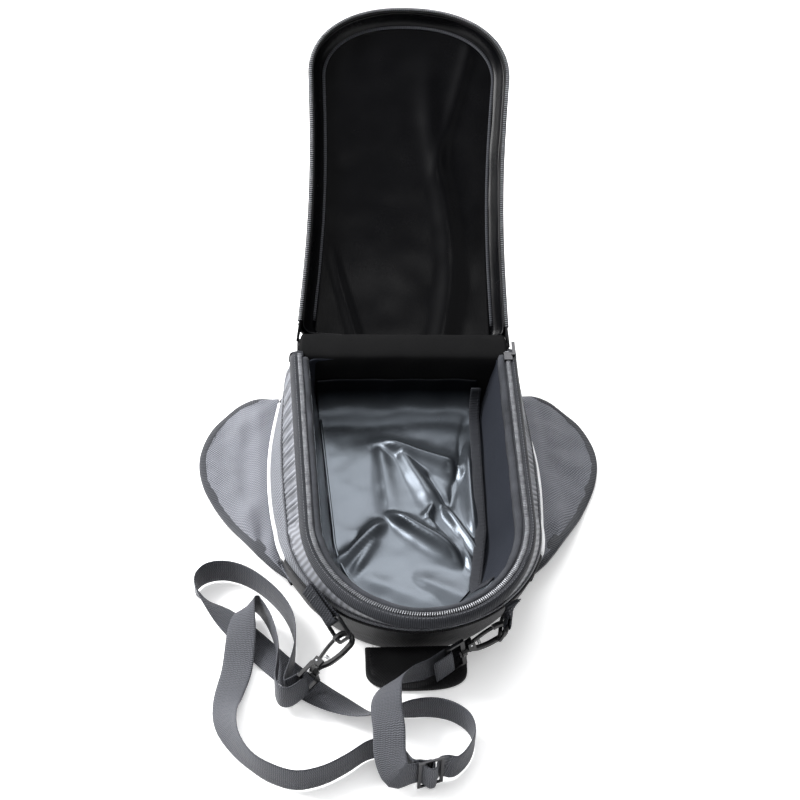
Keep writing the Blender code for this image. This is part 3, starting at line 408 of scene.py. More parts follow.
def bar(name, path, widths, half_width, half_thick, look, sides=10, power=0.7, closed=False):
    """A rounded strip or tube along a path; the half sizes may change along it."""
    path, widths = np.asarray(path, float), np.asarray(widths, float)
    normals = np.cross(widths, tangents(path, closed))
    normals /= np.linalg.norm(normals, axis=1)[:, None]
    turn = (np.arange(sides) + 0.5) * 2 * math.pi / sides
    shape = np.stack([np.cos(turn), np.sin(turn)], 1)
    shape = np.sign(shape) * np.abs(shape) ** power
    wide = np.broadcast_to(half_width, (len(path),))
    thick = np.broadcast_to(half_thick, (len(path),))
    rows = np.array([p + shape[:, :1] * a * w + shape[:, 1:] * b * n
                     for p, w, n, a, b in zip(path, widths, normals, wide, thick)])
    if closed:
        rows = np.concatenate([rows, rows[:1]])
    return grid(name, rows, look, closed=True, caps=not closed, swap=True)


def resample(points, step):
    """The same line with points at an even spacing."""
    points = np.asarray(points, float)
    run = lengths(points[:, :3])
    count = max(2, int(round(run[-1] / step)) + 1)
    places = np.linspace(0, run[-1], count)
    return np.stack([np.interp(places, run, column) for column in points.T], 1)


def smooth_curve(points, steps):
    points = np.asarray(points, float)
    padded = np.vstack([2 * points[0] - points[1], points, 2 * points[-1] - points[-2]])
    curve = []
    for a, b, c, d in zip(padded, padded[1:], padded[2:], padded[3:]):
        for t in np.arange(steps) / steps:
            curve.append(0.5 * (2 * b + (c - a) * t + (2 * a - 5 * b + 4 * c - d) * t ** 2
                                + (3 * b - a - 3 * c + d) * t ** 3))
    curve.append(points[-1])
    return np.array(curve)


def smoothstep(value):
    value = np.clip(value, 0.0, 1.0)
    return value * value * (3 - 2 * value)


def ripple(points, size, seed=0.0):
    """Smooth noise from -1 to 1 at each point."""
    shift = Vector((seed * 1.7, seed * 0.9, seed * 2.3))
    flat = np.asarray(points, float).reshape(-1, 3)
    values = [noise.noise(Vector(p) / size + shift) for p in flat]
    return np.array(values).reshape(np.shape(points)[:-1])


def many(name, parts, look):
    """One mesh of many small closed pieces, each given as rings of points."""
    verts, faces = [], []
    for rings in parts:
        start, count, width = len(verts), len(rings), len(rings[0])
        for ring in rings:
            verts.extend(ring)
        for i in range(count - 1):
            for j in range(width):
                k = (j + 1) % width
                faces.append((start + i * width + j, start + i * width + k,
                              start + (i + 1) * width + k, start + (i + 1) * width + j))
        faces.append(tuple(start + j for j in reversed(range(width))))
        faces.append(tuple(start + (count - 1) * width + j for j in range(width)))
    mesh = bpy.data.meshes.new(name)
    mesh.from_pydata([tuple(map(float, v)) for v in verts], [], faces)
    return placed(name, mesh, look)


def pill(centre, along, up, half_long, half_wide, half_high):
    """Rings of a small rounded bar."""
    aside = np.cross(up, along)
    turn = np.arange(6) * math.pi / 3
    rings = []
    for place, size in ((-1.0, 0.45), (-0.72, 1.0), (0.72, 1.0), (1.0, 0.45)):
        rings.append([centre + along * half_long * place + size * (aside * half_wide * math.cos(a)
                      + up * half_high * math.sin(a)) for a in turn])
    return rings


def stitches(name, path, ups, pitch=0.0032, long=0.0022, fat=0.00028, look="thread"):
    """A line of thread stitches standing just proud of the cloth."""
    line = resample(np.hstack([path, ups]), pitch)
    points, ups = line[:, :3], line[:, 3:]
    parts = [pill(p, t, u / np.linalg.norm(u), long / 2, fat, fat)
             for p, t, u in zip(points, tangents(points), ups)]
    return many(name, parts, look)


def zip_teeth(name, path, aside, up, half_long=0.0021, pitch=0.0019):
    """The coil's teeth: a short rounded bar across the tape for each turn."""
    line = resample(np.hstack([path, aside, up]), pitch)
    points, aside, up = line[:, :3], line[:, 3:6], line[:, 6:]
    along = tangents(points)
    parts = []
    for p, a, u, t in zip(points, aside, up, along):
        tilt = a + t * 0.12
        parts.append(pill(p, tilt / np.linalg.norm(tilt), u / np.linalg.norm(u), half_long, 0.00042, 0.00115))
    return many(name, parts, "coil")


# --- outlines ---
def way_round(across, around):
    """From rear left, round the front, to rear right: the share of the side, and the turn."""
    steps = np.arange(across) / across
    angle = np.arange(around + 1) / around * math.pi
    run = np.concatenate([1 - steps, np.zeros(around + 1), 1 - steps[::-1]])
    return run, np.concatenate([np.zeros(across), angle, np.full(across, math.pi)])


def mouth_curve(height, side, front, rear_y, across=SIDE, around=FRONT):
    """The open outline of the body at a height, let out at its sides and its front."""
    lift = height / RIM_Z
    centre_y = BASE_CENTRE_Y + (RIM_CENTRE_Y - BASE_CENTRE_Y) * lift
    front_half = RIM_HALF + side - 0.004 * (1 - lift)
    rear_half = REAR_HALF + np.minimum(side, 0.008) + 0.3 * np.maximum(side - 0.008, 0.0)
    full = BELLY * np.clip((side - 0.008) / 0.019, 0, 1)
    run, turn = way_round(across, around)
    half = front_half + (rear_half - front_half) * run + full * np.sin(math.pi * run)
    x = -half * np.cos(turn) + LEAN * lift
    y = centre_y - (centre_y - (FRONT_Y - front)) * np.sin(turn) + (rear_y - centre_y) * run
    return np.stack([x, y, np.broadcast_to(height, x.shape)], 1)


def join_rear(sides, corner):
    turn = np.arange(1, CORNER + 1) / CORNER * math.pi / 2
    bend = np.stack([np.cos(turn) - 1, np.sin(turn), 0 * turn], 1) * corner
    right, left = sides[-1] + bend, sides[0] + bend[::-1] * (-1, 1, 1)
    return np.vstack([sides, right, np.linspace(right[-1], left[0], REAR + 2)[1:-1], left])


def closed_curve(height, side, front, rear_y, corner, across=SIDE):
    return join_rear(mouth_curve(height, side, front, rear_y - corner, across), corner)


def profile(table, height):
    heights, sides, fronts = np.array(table).T
    return np.interp(height, heights, sides), np.interp(height, heights, fronts)


def wall_curve(height, inset=0.0, across=SIDE):
    side, front = profile(WALL, height)
    return closed_curve(height, side - inset, front - inset, WALL_REAR_Y - inset, WALL_CORNER, across)


def curve_at(heights, inset=0.0, across=SIDE):
    count = len(wall_curve(0.01, across=across))
    heights = np.broadcast_to(heights, (count,))
    levels = np.unique(heights)
    if len(levels) == 1:
        return wall_curve(levels[0], inset, across=across)
    return np.array([wall_curve(h, inset, across=across)[i] for i, h in enumerate(heights)])


def outward(row, closed=True):
    return -flat_widths(row, closed)


def piping_heights():
    reach = wall_curve(PIPING_Z)[:, 1]
    return PIPING_Z + PIPING_RISE * smoothstep((0.01 - reach) / 0.095)


def wall_skin(low, high, steps, amount, across=SIDE, relief=None):
    """Rows of outer fabric between two heights, with the soft waves of a sewn wall."""
    rows = []
    for share in np.linspace(0, 1, steps + 1):
        row = curve_at(low + (high - low) * share, WALL_SKIN, across)
        wave = amount * ripple(row * (1, 1, 0.6), 0.035) + 0.4 * amount * ripple(row, 0.014, 3)
        wave = wave * (0.35 + 0.65 * math.sin(math.pi * share))
        if relief is not None:
            wave = wave + relief(row, share)
        rows.append(pushed(row, outward(row), wave))
    return rows


def fill(curve, columns):
    """A surface that fills an open outline: rows from rear to front, columns left to right."""
    count = len(curve) // 2 + 1
    left, right = curve[:count], curve[::-1][:count]
    share = np.linspace(0, 1, columns + 1)[None, :, None]
    return left[:, None] * (1 - share) + right[:, None] * share


# --- body ---
def ribs(row, share):
    """Slanting ribs of the padded band, strongest at the left and towards the rear."""
    run = lengths(curve_at(BAND_MID_Z, WALL_SKIN, FINE))[:len(row)]
    strong = np.where(row[:, 0] < LEAN, 1.0, 0.55) * smoothstep((row[:, 1] + 0.085) / 0.05)
    slant = run / RIB_PITCH + share * 0.9
    return RIB_RISE * strong * np.sin(2 * math.pi * slant) * (0.3 + 0.7 * math.sin(math.pi * share))


def body_walls():
    seam = piping_heights()
    skins = (("boxing_cloth", wall_skin(0.0018, seam - 0.0014, 10, 0.0014), "boxing", "outer_nylon",
              "boxing"),
             ("side_cloth", wall_skin(seam + 0.0014, BAND_Z - 0.0004, 12, 0.0012), "mesh", "mesh_fabric",
              "side_wall"),
             ("ribbed_cloth", wall_skin(BAND_Z, BAND_TOP_Z, 9, 0.0006, FINE, ribs), "rib", "ribbed_band",
              "rim_band"))
    for name, rows, look, slot, node in skins:
        piece(grid(name, rows, look, 0.0012, closed=True), "bag", node)
    line = curve_at(seam, -0.0004)
    across = flat_widths(line, True)
    piece(bar("piping_cord", line, across, 0.0012, 0.0015, "black_binding", 10, 1.0, closed=True),
          "bag", "piping")
    for key, places in (("left", range(MOUTH)), ("right", range(MOUTH - 1, -1, -1))):
        keep = [i for i in places if line[i, 1] > REFLECT_Y and (line[i, 0] < 0) == (key == "left")]
        slim = 0.3 + 0.7 * smoothstep((line[keep][:, 1] - REFLECT_Y) / 0.012)
        piece(bar("reflective_piping_" + key, line[keep] - across[keep] * 0.0004, across[keep],
                  0.0018 * slim, 0.0024 * slim, "piping", 12, 0.8), "bag")

    under = wall_curve(BAND_Z, -0.0004)
    piece(bar("band_welt", under, flat_widths(under, True), 0.0009, 0.0011, "binding", 8, 1.0,
              closed=True), "bag")
    for height, key in ((BAND_Z - 0.0028, "lower"), (BAND_Z + 0.003, "upper")):
        row = wall_curve(height, -0.0005)
        piece(stitches("wall_stitches_" + key, row, outward(row)), "bag")


def rim():
    """Zip, tape and inner binding around the mouth."""
    coil = mouth_curve(RIM_Z, 0.0, 0.0, REAR_Y)
    inward, up = flat_widths(coil), upright(coil)
    piece(zip_teeth("body_zip_teeth", coil, inward, up), "bag", "body_zip_coil")
    piece(bar("body_zip_core", coil - (0, 0, 0.0006), inward, 0.0021, 0.0004, "black_binding", 8),
          "bag")
    rows = []
    for out, height in ((-0.0034, 0.0752), (-0.0024, 0.0758), (0.0, 0.076), (0.0022, 0.076), (0.0034, 0.077),
                        (0.0052, 0.0768), (0.0068, 0.0752), (0.008, 0.0728), (0.0086, 0.0704)):
        row = mouth_curve(height, out, out, REAR_Y + 0.001)
        rows.append(pushed(row, up, 0.0004 * ripple(row, 0.016, 5)))
    piece(grid("body_zip_tape_cloth", rows, "tape", 0.0008), "bag", "body_zip_tape")
    groove = mouth_curve(0.0772, 0.0046, 0.0046, REAR_Y - 0.002)
    piece(stitches("rim_stitches", groove, up, fat=0.00024), "bag")
    rows = []
    for inset, height in ((0.003, 0.0745), (0.0036, 0.0757), (0.0052, 0.0763), (0.007, 0.0757),
                          (0.008, 0.0735), (0.0078, 0.069)):
        row = mouth_curve(height, -inset, -inset, REAR_Y - 0.003)
        wave = 0.0005 * ripple(row, 0.007, 2) + 0.0006 * ripple(row, 0.02, 7)
        rows.append(pushed(row, flat_widths(row), wave))
    piece(grid("rim_binding_cloth", rows, "fuzzy", 0.0011), "bag", "rim_binding")


def tape_ends():
    """The zip tape's free ends, curling outwards and down at the two rear corners."""
    coil = mouth_curve(RIM_Z, 0.0, 0.0, REAR_Y)
    for side, name, end in ((-1, "left", coil[0]), (1, "right", coil[-1])):
        path = [end + (side * x, y, z) for x, y, z in
                ((0.001, -0.003, -0.0004), (0.0012, 0.0018, 0.0), (0.0022, 0.0052, -0.0012),
                 (0.004, 0.0068, -0.0042), (0.005, 0.0066, -0.0085), (0.0054, 0.0056, -0.013))]
        line = smooth_curve(path, 6)
        turned = smoothstep(np.linspace(0, 2.2, len(line)))[:, None]
        widths = np.array((side, 0, 0)) * (1 - turned) + np.array((side * 0.94, -0.34, 0)) * turned
        piece(bar("tape_end_" + name, line, square_line(line, widths), 0.0046, 0.0007, "tape",
                  12), "bag")


def carried_up(points):
    """Turn the rear of the sheet up the rear wall on a soft bend."""
    run, lift = points[..., 1] - BEND_Y, points[..., 2] - FLOOR_Z
    turn = np.clip(run / BEND, 0, math.pi / 2)
    rise = np.maximum(run - BEND * math.pi / 2, 0)
    y = BEND_Y + (BEND - lift) * np.sin(turn) + 0.1 * rise
    z = FLOOR_Z + BEND - (BEND - lift) * np.cos(turn) + rise
    return np.stack([points[..., 0], np.where(run > 0, y, points[..., 1]),
                     np.where(run > 0, z, points[..., 2])], -1)


def inner_line(height, inset, rear_y, level=None):
    """The cavity's outline at a height, set in from the wall, finely spaced."""
    side, front = profile(INSIDE, height if level is None else level)
    return mouth_curve(height, side - inset, front - inset, rear_y, LINER_SIDE, LINER_FRONT)


def felt():
    """Felt on the walls, with a ledge of it under the liner's edge."""
    rows = []
    side, front = profile(INSIDE, 0.0)
    for height, tuck in ((0.0142, 0.008), (0.0146, 0.0015)):
        rows.append(closed_curve(height, side - tuck, front - tuck, FELT_REAR_Y, FELT_CORNER))
    for height in (0.015, 0.022, 0.032, 0.042, 0.052, 0.062, 0.07, 0.0722):
        row = closed_curve(height, *profile(INSIDE, height), FELT_REAR_Y, FELT_CORNER)
        rows.append(pushed(row, -outward(row), 0.0007 * ripple(row, 0.03, 4)))
    piece(grid("felt_lining", rows, "felt", 0.0014, closed=True), "bag", "wall_lining")


def liner(tape_line):
    """The loose coated sheet, held by the seam tape on the right, and its run up the walls."""
    edge = inner_line(FLOOR_Z, 0.0016, 0.1665)
    limit = np.interp(edge[:, 1], tape_line[:, 1], tape_line[:, 0]) + 0.001
    edge[:, 0] = np.minimum(edge[:, 0], limit)
    rows = fill(edge, 110)
    rows[:, :, 2] += liner_height(rows[:, :, 0], rows[:, :, 1])
    upper = smoothstep((rows[:, :, 1] - BEND_Y) / 0.03)
    rows[:, :, 1] += 0.0035 * upper * ripple(rows * (1, 0, 0), 0.05, 21)
    rows[:, :, 2] += 0.0016 * upper * ripple(rows * (1, 0.5, 0), 0.022, 22)
    sheet = piece(grid("liner_sheet", carried_up(rows), "liner_floor", 0.0008), "bag", "liner")

    climb = []
    for share in np.linspace(0, 1, 14):
        row = inner_line(0.0172 + share * 0.05, 0.0013, 0.147)[:SEAM_AT + 1]
        tuck = 0.0016 * (1 - share) ** 2
        wave = 0.0011 * ripple(row * (1, 1, 0.5), 0.028, 9) * math.sin(math.pi * min(1, share + 0.15))
        climb.append(pushed(row, flat_widths(row), tuck + wave))
    piece(grid("liner_upstand", climb, "liner", 0.0007), "bag")
    welt = inner_line(0.0186, 0.002, 0.143, 0.0)[:100]
    piece(bar("liner_welt", welt, flat_widths(welt), 0.0013, 0.0011, "liner", 10, 1.0), "bag")


def liner_seam(tape_line):
    """The tape over the liner's right-hand edge, from the rim, down the wall and along the floor."""
    start = tape_line[0]
    wall = [inner_line(height, 0.0026, 0.147)[SEAM_AT] for height in (0.064, 0.052, 0.04, 0.03)]
    toe = wall[-1] * 0.55 + start * 0.45 - (0, 0, 0.002)
    seam = np.vstack([smooth_curve(np.array([*wall, toe, start]), 6)[:-1], carried_up(tape_line)])
    wave = upright(seam) * (0.0008 * ripple(seam, 0.02, 6))[:, None]
    share = smoothstep((seam[:, 1] - wall[0][1]) / (start[1] - wall[0][1]))[:, None]
    widths = square_line(seam, np.array((-0.6, -0.8, 0.0)) * (1 - share) + np.array((-1.0, 0.0, 0.0)) * share)
    piece(bar("liner_seam_binding", seam + wave, widths, 0.0048, 0.0008, "tape", 12), "bag",
          "liner_seam_tape")
    up = np.cross(tangents(seam), widths)
    holes = seam - widths * 0.0026 + up * 0.001 + wave
    piece(stitches("liner_seam_stitches", holes, up, pitch=0.004, look="fuzzy"), "bag")


def cavity():
    tape_line = inner_line(0.0222, 0.004, 0.16, 0.0)[LINER_SIDE + LINER_FRONT:]
    felt()
    liner(tape_line)
    liner_seam(tape_line)


FOLDS = (  # crest from, crest to, height, half width on the lit side, half width on the far side
    ((-0.016, 0.094), (0.05, 0.06), 0.0085, 0.009, 0.006),
    ((-0.018, 0.092), (-0.013, 0.012), 0.0038, 0.01, 0.006),
    ((-0.002, 0.088), (0.024, 0.02), 0.006, 0.01, 0.007),
    ((-0.012, 0.006), (0.041, -0.043), 0.0095, 0.008, 0.006),
    ((0.024, 0.018), (0.017, 0.002), 0.0045, 0.004, 0.0035),
    ((0.017, 0.003), (0.034, -0.03), 0.0048, 0.004, 0.0045),
    ((0.034, 0.012), (0.059, -0.04), 0.006, 0.006, 0.004),
    ((-0.06, -0.048), (-0.02, -0.002), 0.006, 0.006, 0.0045),
    ((-0.046, -0.056), (-0.026, -0.016), 0.003, 0.0045, 0.004),
    ((0.006, -0.066), (0.06, -0.098), 0.0036, 0.015, 0.01),
    ((0.059, 0.08), (0.056, -0.02), 0.0055, 0.006, 0.005),
    ((0.036, 0.02), (0.052, -0.062), 0.004, 0.005, 0.004),
    ((-0.04, -0.062), (0.02, -0.094), 0.0026, 0.017, 0.012),
)
CREASES = (  # sharp valleys: from, to, depth, half width
    ((0.064, 0.135), (0.039, 0.014), 0.0042, 0.0028),
    ((0.022, 0.056), (0.039, 0.013), 0.004, 0.003),
    ((0.039, 0.013), (0.061, -0.036), 0.0038, 0.0026),
    ((0.022, 0.008), (0.055, -0.07), 0.003, 0.0026),
    ((-0.06, -0.052), (-0.04, -0.012), 0.0026, 0.003),
)


def along_line(x, y, start, end):
    start, end = np.array(start), np.array(end)
    run = end - start
    length = np.hypot(*run)
    run = run / length
    px, py = x - start[0], y - start[1]
    share = (px * run[0] + py * run[1]) / length
    return share, px * run[1] - py * run[0]


def liner_height(x, y):
    """How far the loose coated sheet stands off the floor, fold by fold."""
    height = np.zeros_like(x)
    for start, end, tall, lit, far in FOLDS:
        share, aside = along_line(x, y, start, end)
        swell = smoothstep((share + 0.22) / 0.4) * smoothstep((1.22 - share) / 0.4)
        width = np.where(aside < 0, lit, far) * (0.75 + 0.5 * np.clip(share, 0, 1))
        height = np.maximum(height, tall * swell * np.exp(-(np.abs(aside) / width) ** 1.7)) \
            + 0.25 * tall * swell * np.exp(-(np.abs(aside) / (1.8 * width)) ** 2)
    for start, end, deep, half in CREASES:
        share, aside = along_line(x, y, start, end)
        swell = smoothstep((share + 0.08) / 0.2) * smoothstep((1.08 - share) / 0.2)
        height -= deep * swell * np.exp(-np.abs(aside) / half)
    points = np.stack([x, y, 0 * x], -1)
    height += 0.0022 * ripple(points, 0.05, 1) + 0.0005 * ripple(points, 0.014, 8)
    reach = np.clip(1 - np.abs((x - LEAN * 0.2)) / 0.068, 0, 1)
    return np.maximum(height, -0.0012) * smoothstep(reach * 9) * smoothstep((0.136 - y) / 0.02)


# --- lid ---
def lid_curve(height, inset, rear_y, corner=None, across=SIDE, around=FRONT):
    run, turn = way_round(across, around)
    half = LID_END_HALF + (REAR_HALF - LID_END_HALF) * run - LID_WAIST * np.sin(math.pi * run) - inset
    round_x = -np.sign(np.cos(turn)) * np.abs(np.cos(turn)) ** 0.9
    round_y = np.abs(np.sin(turn)) ** 0.9
    rear = rear_y - (corner or 0.0)
    y = LID_CENTRE_Y - (LID_CENTRE_Y - LID_END_Y - inset) * round_y + (rear - LID_CENTRE_Y) * run
    sides = np.stack([half * round_x + LEAN, y, np.full(y.shape, height)], 1)
    return sides if corner is None else join_rear(sides, corner)


def opened(points):
    """Points of the closed lid, turned to where the open lid stands."""
    axis = np.array((math.cos(HINGE_YAW), math.sin(HINGE_YAW), 0.0))
    turn = np.array(Matrix.Rotation(LID_OPEN, 3, Vector(axis)))
    return (np.asarray(points, float) - HINGE) @ turn.T + HINGE


def lid_shell(name, table, look, thick, rear, corner, wave, node):
    """A closed band of the lid through (inset, height) pairs."""
    rows = []
    for inset, height in table:
        row = lid_curve(height, inset, rear, corner)
        rows.append(pushed(row, outward(row), wave * ripple(row, 0.03, 11)))
    piece(grid(name, opened(rows), look, thick, closed=True), "lid", node)


def lid_bar(name, line, half_wide, half_thick, look, power, closed=False, node=()):
    across = opened_vectors(flat_widths(line, closed))
    piece(bar(name, opened(line), across, half_wide, half_thick, look, 10, power, closed=closed),
          "lid", *node)


def lid_cover():
    """The crowned outer panel."""
    rows = fill(lid_curve(0.1046, 0.0042, 0.148, None, 50, 90), 50)
    share, place = np.linspace(0, 1, 51), np.arange(len(rows))
    down = smoothstep(np.minimum(share, 1 - share) * 5)
    length = smoothstep(np.minimum(place, 6) / 6) * smoothstep(np.minimum(place[::-1], 26) / 26)
    length = length[:, None]
    rows[:, :, 2] += 0.0026 * down * length + 0.0007 * ripple(rows, 0.04, 12) * down * length
    piece(grid("lid_cover_cloth", opened(rows), "black", 0.0012), "lid", "lid_panel")


def lid_lining():
    """The glossy lining, with a long soft fold on its right and short ones near its corners."""
    rows = fill(lid_curve(0.0978, 0.0118, 0.1525, None, 60, 90), 60)
    x, y = rows[:, :, 0] - LEAN, rows[:, :, 1]
    share = np.linspace(0, 1, 61)
    edge = smoothstep(np.minimum(share, share[::-1]) * 8)[None, :]
    drop = 0.0038 * np.exp(-((x - 0.03 - 0.012 * np.sin(y * 18)) / 0.01) ** 2) * smoothstep((y + 0.13) / 0.1)
    drop += 0.0016 * np.exp(-((x - 0.055 + 0.25 * (y + 0.12)) / 0.006) ** 2) * smoothstep((-y + 0.02) / 0.06)
    drop += 0.0022 * np.exp(-((x + 0.058 - 0.32 * (y - 0.1)) / 0.004) ** 2) * smoothstep((y - 0.05) / 0.03)
    drop += 0.0018 * ripple(rows, 0.055, 14) + 0.0004 * ripple(rows, 0.02, 15)
    rows[:, :, 2] -= drop * edge
    piece(grid("lid_lining_sheet", opened(rows), "lining", 0.0007), "lid", "lid_lining")


def lid_zip():
    coil = lid_curve(LID_COIL_Z, 0.0, REAR_Y - 0.012)
    piece(zip_teeth("lid_zip_teeth", opened(coil), opened_vectors(flat_widths(coil)),
                    opened_vectors(upright(coil)), 0.0015), "lid", "lid_zip_coil")
    rows = [lid_curve(height, inset, REAR_Y - 0.011) for inset, height in
            ((0.0028, 0.0826), (0.0012, 0.0826), (-0.0008, 0.0828), (-0.0018, 0.0842), (-0.0016, 0.0862),
             (-0.0012, 0.088))]
    piece(grid("lid_zip_tape_cloth", opened(rows), "black_binding", 0.0007), "lid",
          "lid_zip_tape")


def lid_corner(side, key):
    """The cloth ear that closes a rear corner of the lid."""
    rows = []
    for share in np.linspace(0, 1, 10):
        low, high = 0.0822 - 0.003 * share, 0.101 - 0.0195 * share ** 1.6
        x = LEAN + side * (0.0922 + 0.003 * share)
        rows.append([(x - side * 0.0016 * math.sin(math.pi * v), 0.134 + share * 0.0235,
                      low + (high - low) * v) for v in np.linspace(0, 1, 7)])
    piece(grid("lid_corner_" + key, opened(rows), "black", 0.001), "lid")


def lid():
    lid_shell("lid_band_cloth", ((-0.0004, 0.0868), (-0.0008, 0.09), (-0.001, 0.0935), (-0.0004, 0.097),
                                 (0.0008, 0.1), (0.0028, 0.1026), (0.005, 0.1042)),
              "black", 0.0012, 0.1525, 0.012, 0.0006, "lid_side_band")
    lid_shell("lid_gusset_cloth", ((0.0026, 0.0842), (0.0034, 0.0872), (0.005, 0.0905), (0.0072, 0.0935),
                                   (0.0098, 0.096), (0.0122, 0.0975)),
              "lining", 0.0009, 0.15, 0.01, 0.001, "lid_side_lining")
    lid_cover()
    lid_bar("lid_seam_piping", lid_curve(0.1043, 0.004, 0.15, 0.01), 0.0013, 0.0013, "black_binding", 1.0,
            True)
    lid_lining()
    edge = lid_curve(0.097, 0.0122, 0.136)
    edge[:, 2] += 0.0005 * ripple(edge, 0.02, 16)
    lid_bar("lid_binding_cloth", edge, 0.0015, 0.001, "binding", 0.8, node=("lid_binding",))
    lid_zip()
    for key, height, inset, rear, tilt in (("band", 0.0892, -0.0016, 0.153, 0),
                                           ("top", 0.1036, 0.0022, 0.1515, 1)):
        row = lid_curve(height, inset, rear, 0.012)
        ups = opened_vectors(outward(row) + (0, 0, tilt))
        piece(stitches(f"lid_{key}_stitches", opened(row), ups), "lid")
    for side, key in ((-1, "left"), (1, "right")):
        lid_corner(side, key)
    hinge_cloth()


def opened_vectors(vectors):
    return opened(np.asarray(vectors) + HINGE) - HINGE


def hinge_cloth():
    """The cloth that joins lid and body, inside and out, shaped round the hinge line."""
    along = np.array((math.cos(HINGE_YAW), math.sin(HINGE_YAW), 0.0))
    aside = np.array((-math.sin(HINGE_YAW), math.cos(HINGE_YAW), 0.0))
    middle = opened([HINGE + (0, -0.0012, 0.001)])[0]
    sheets = (
        ("hinge_cloth", "black", 0.0945,
         ((-0.0034, -0.011), (-0.003, -0.007), (-0.0024, -0.003), (-0.001, -0.0006)),
         ((-0.001, 0.0006, 0), (-0.003, 0.003, 0), (-0.0052, 0.006, 0), (-0.0064, 0.009, 0),
          (-0.006, 0.0155, 0.0008)),
         ("rear_web", "lid_hinge_web")),
        # The inner sheet has the near-black shade look: painted shade of the open lid on the rear wall.
        ("rear_lining", "shade", 0.093,
         ((-0.015, -0.059), (-0.0146, -0.04), (-0.0138, -0.022), (-0.012, -0.008), (-0.008, -0.0025)),
         ((-0.008, 0.002, 0.002), (-0.0098, 0.006, 0.008), (-0.0108, 0.011, 0.011),
          (-0.0112, 0.0155, 0.0135), (-0.0114, 0.0188, 0.015)), ()),
    )
    for name, look, half, low, high, replaced in sheets:
        places = np.linspace(-half, half, 61)[:, None]
        rows = [HINGE + places * along + aside * a + (0, 0, b) for a, b in low]
        rows += [opened(HINGE + places * (1 - trim / half) * along + aside * a + (0, 0, b))
                 for a, b, trim in high]
        steps = [smooth_curve(np.array(line), 4) for line in np.swapaxes(np.array(rows), 0, 1)]
        rows = np.swapaxes(np.array(steps), 0, 1)
        rows[:, :, 1] += 0.0006 * ripple(rows, 0.02, 17)
        bent(grid(name, rows, look, 0.0008), "lid", tuple(HINGE + (0, -0.0008, -0.0016)),
             tuple(middle), *replaced)


# --- wings and front flap ---
def straighten_weave(item):
    """Lay the weave's threads square to the bag instead of fanning out from the fold."""
    flat = item.data.uv_layers.active.data
    for loop in item.data.loops:
        place = item.data.vertices[loop.vertex_index].co
        flat[loop.index].uv = place.x, place.y


def flap_skin(name, edge, root, lift, middle, look, fold, replaced, seed, puff):
    """A skin from its root line to its outline, shaped over the fold line."""
    rows = []
    for share in np.concatenate([np.linspace(0, 0.25, 8)[:-1], np.linspace(0.25, 1, 26)]):
        row = root + (edge - root) * share
        points = np.stack([row[:, 0], row[:, 1], middle(row)], 1)
        swell = math.sin(math.pi * min(1.0, share * 1.02)) ** 0.6 if share < 0.98 else 0.0
        out, ahead = np.abs(points[:, 0]), points[:, 1]
        near = np.exp(-((out - 0.133) / 0.0085) ** 2)
        bumps = 0.0042 * ripple(points, 0.03, seed) + 0.0006 * ripple(points, 0.011, seed + 1) \
            - 0.0062 * near * np.exp(-((ahead - 0.085) / 0.045) ** 2) \
            + 0.0042 * np.exp(-((out - 0.136) / 0.008) ** 2 - ((ahead - 0.012) / 0.016) ** 2) \
            - 0.004 * np.exp(-((out - 0.122) / 0.006) ** 2 - ((ahead + 0.012) / 0.018) ** 2)
        pucker = 0.00035 * ripple(points, 0.006, seed + 2) * smoothstep((share - 0.75) / 0.2)
        points[:, 2] += lift + math.copysign(1, lift) * puff * swell + bumps * swell ** 2.5 + pucker
        points[:, 2] = np.maximum(points[:, 2], 0.0011)
        rows.append(points)
    item = grid(name, rows, look, 0.001)
    straighten_weave(item)
    bent(item, *fold, *replaced)


def hem(key, path, wide, high, look, fold, node, thread):
    """The binding round a wing or flap, and the row of stitches through it."""
    name, side = key
    bent(bar(f"{name}_binding_cloth{side}", path, flat_widths(path), wide, high, look, 14, 0.55),
         *fold, node)
    row = stitches(f"{name}_stitches{side}", path + thread + (0, 0, 0.0021), upright(path),
                   look="thread" if look == "binding" else look)
    body, start, end = fold
    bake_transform(row)
    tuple(start)
    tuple(end)


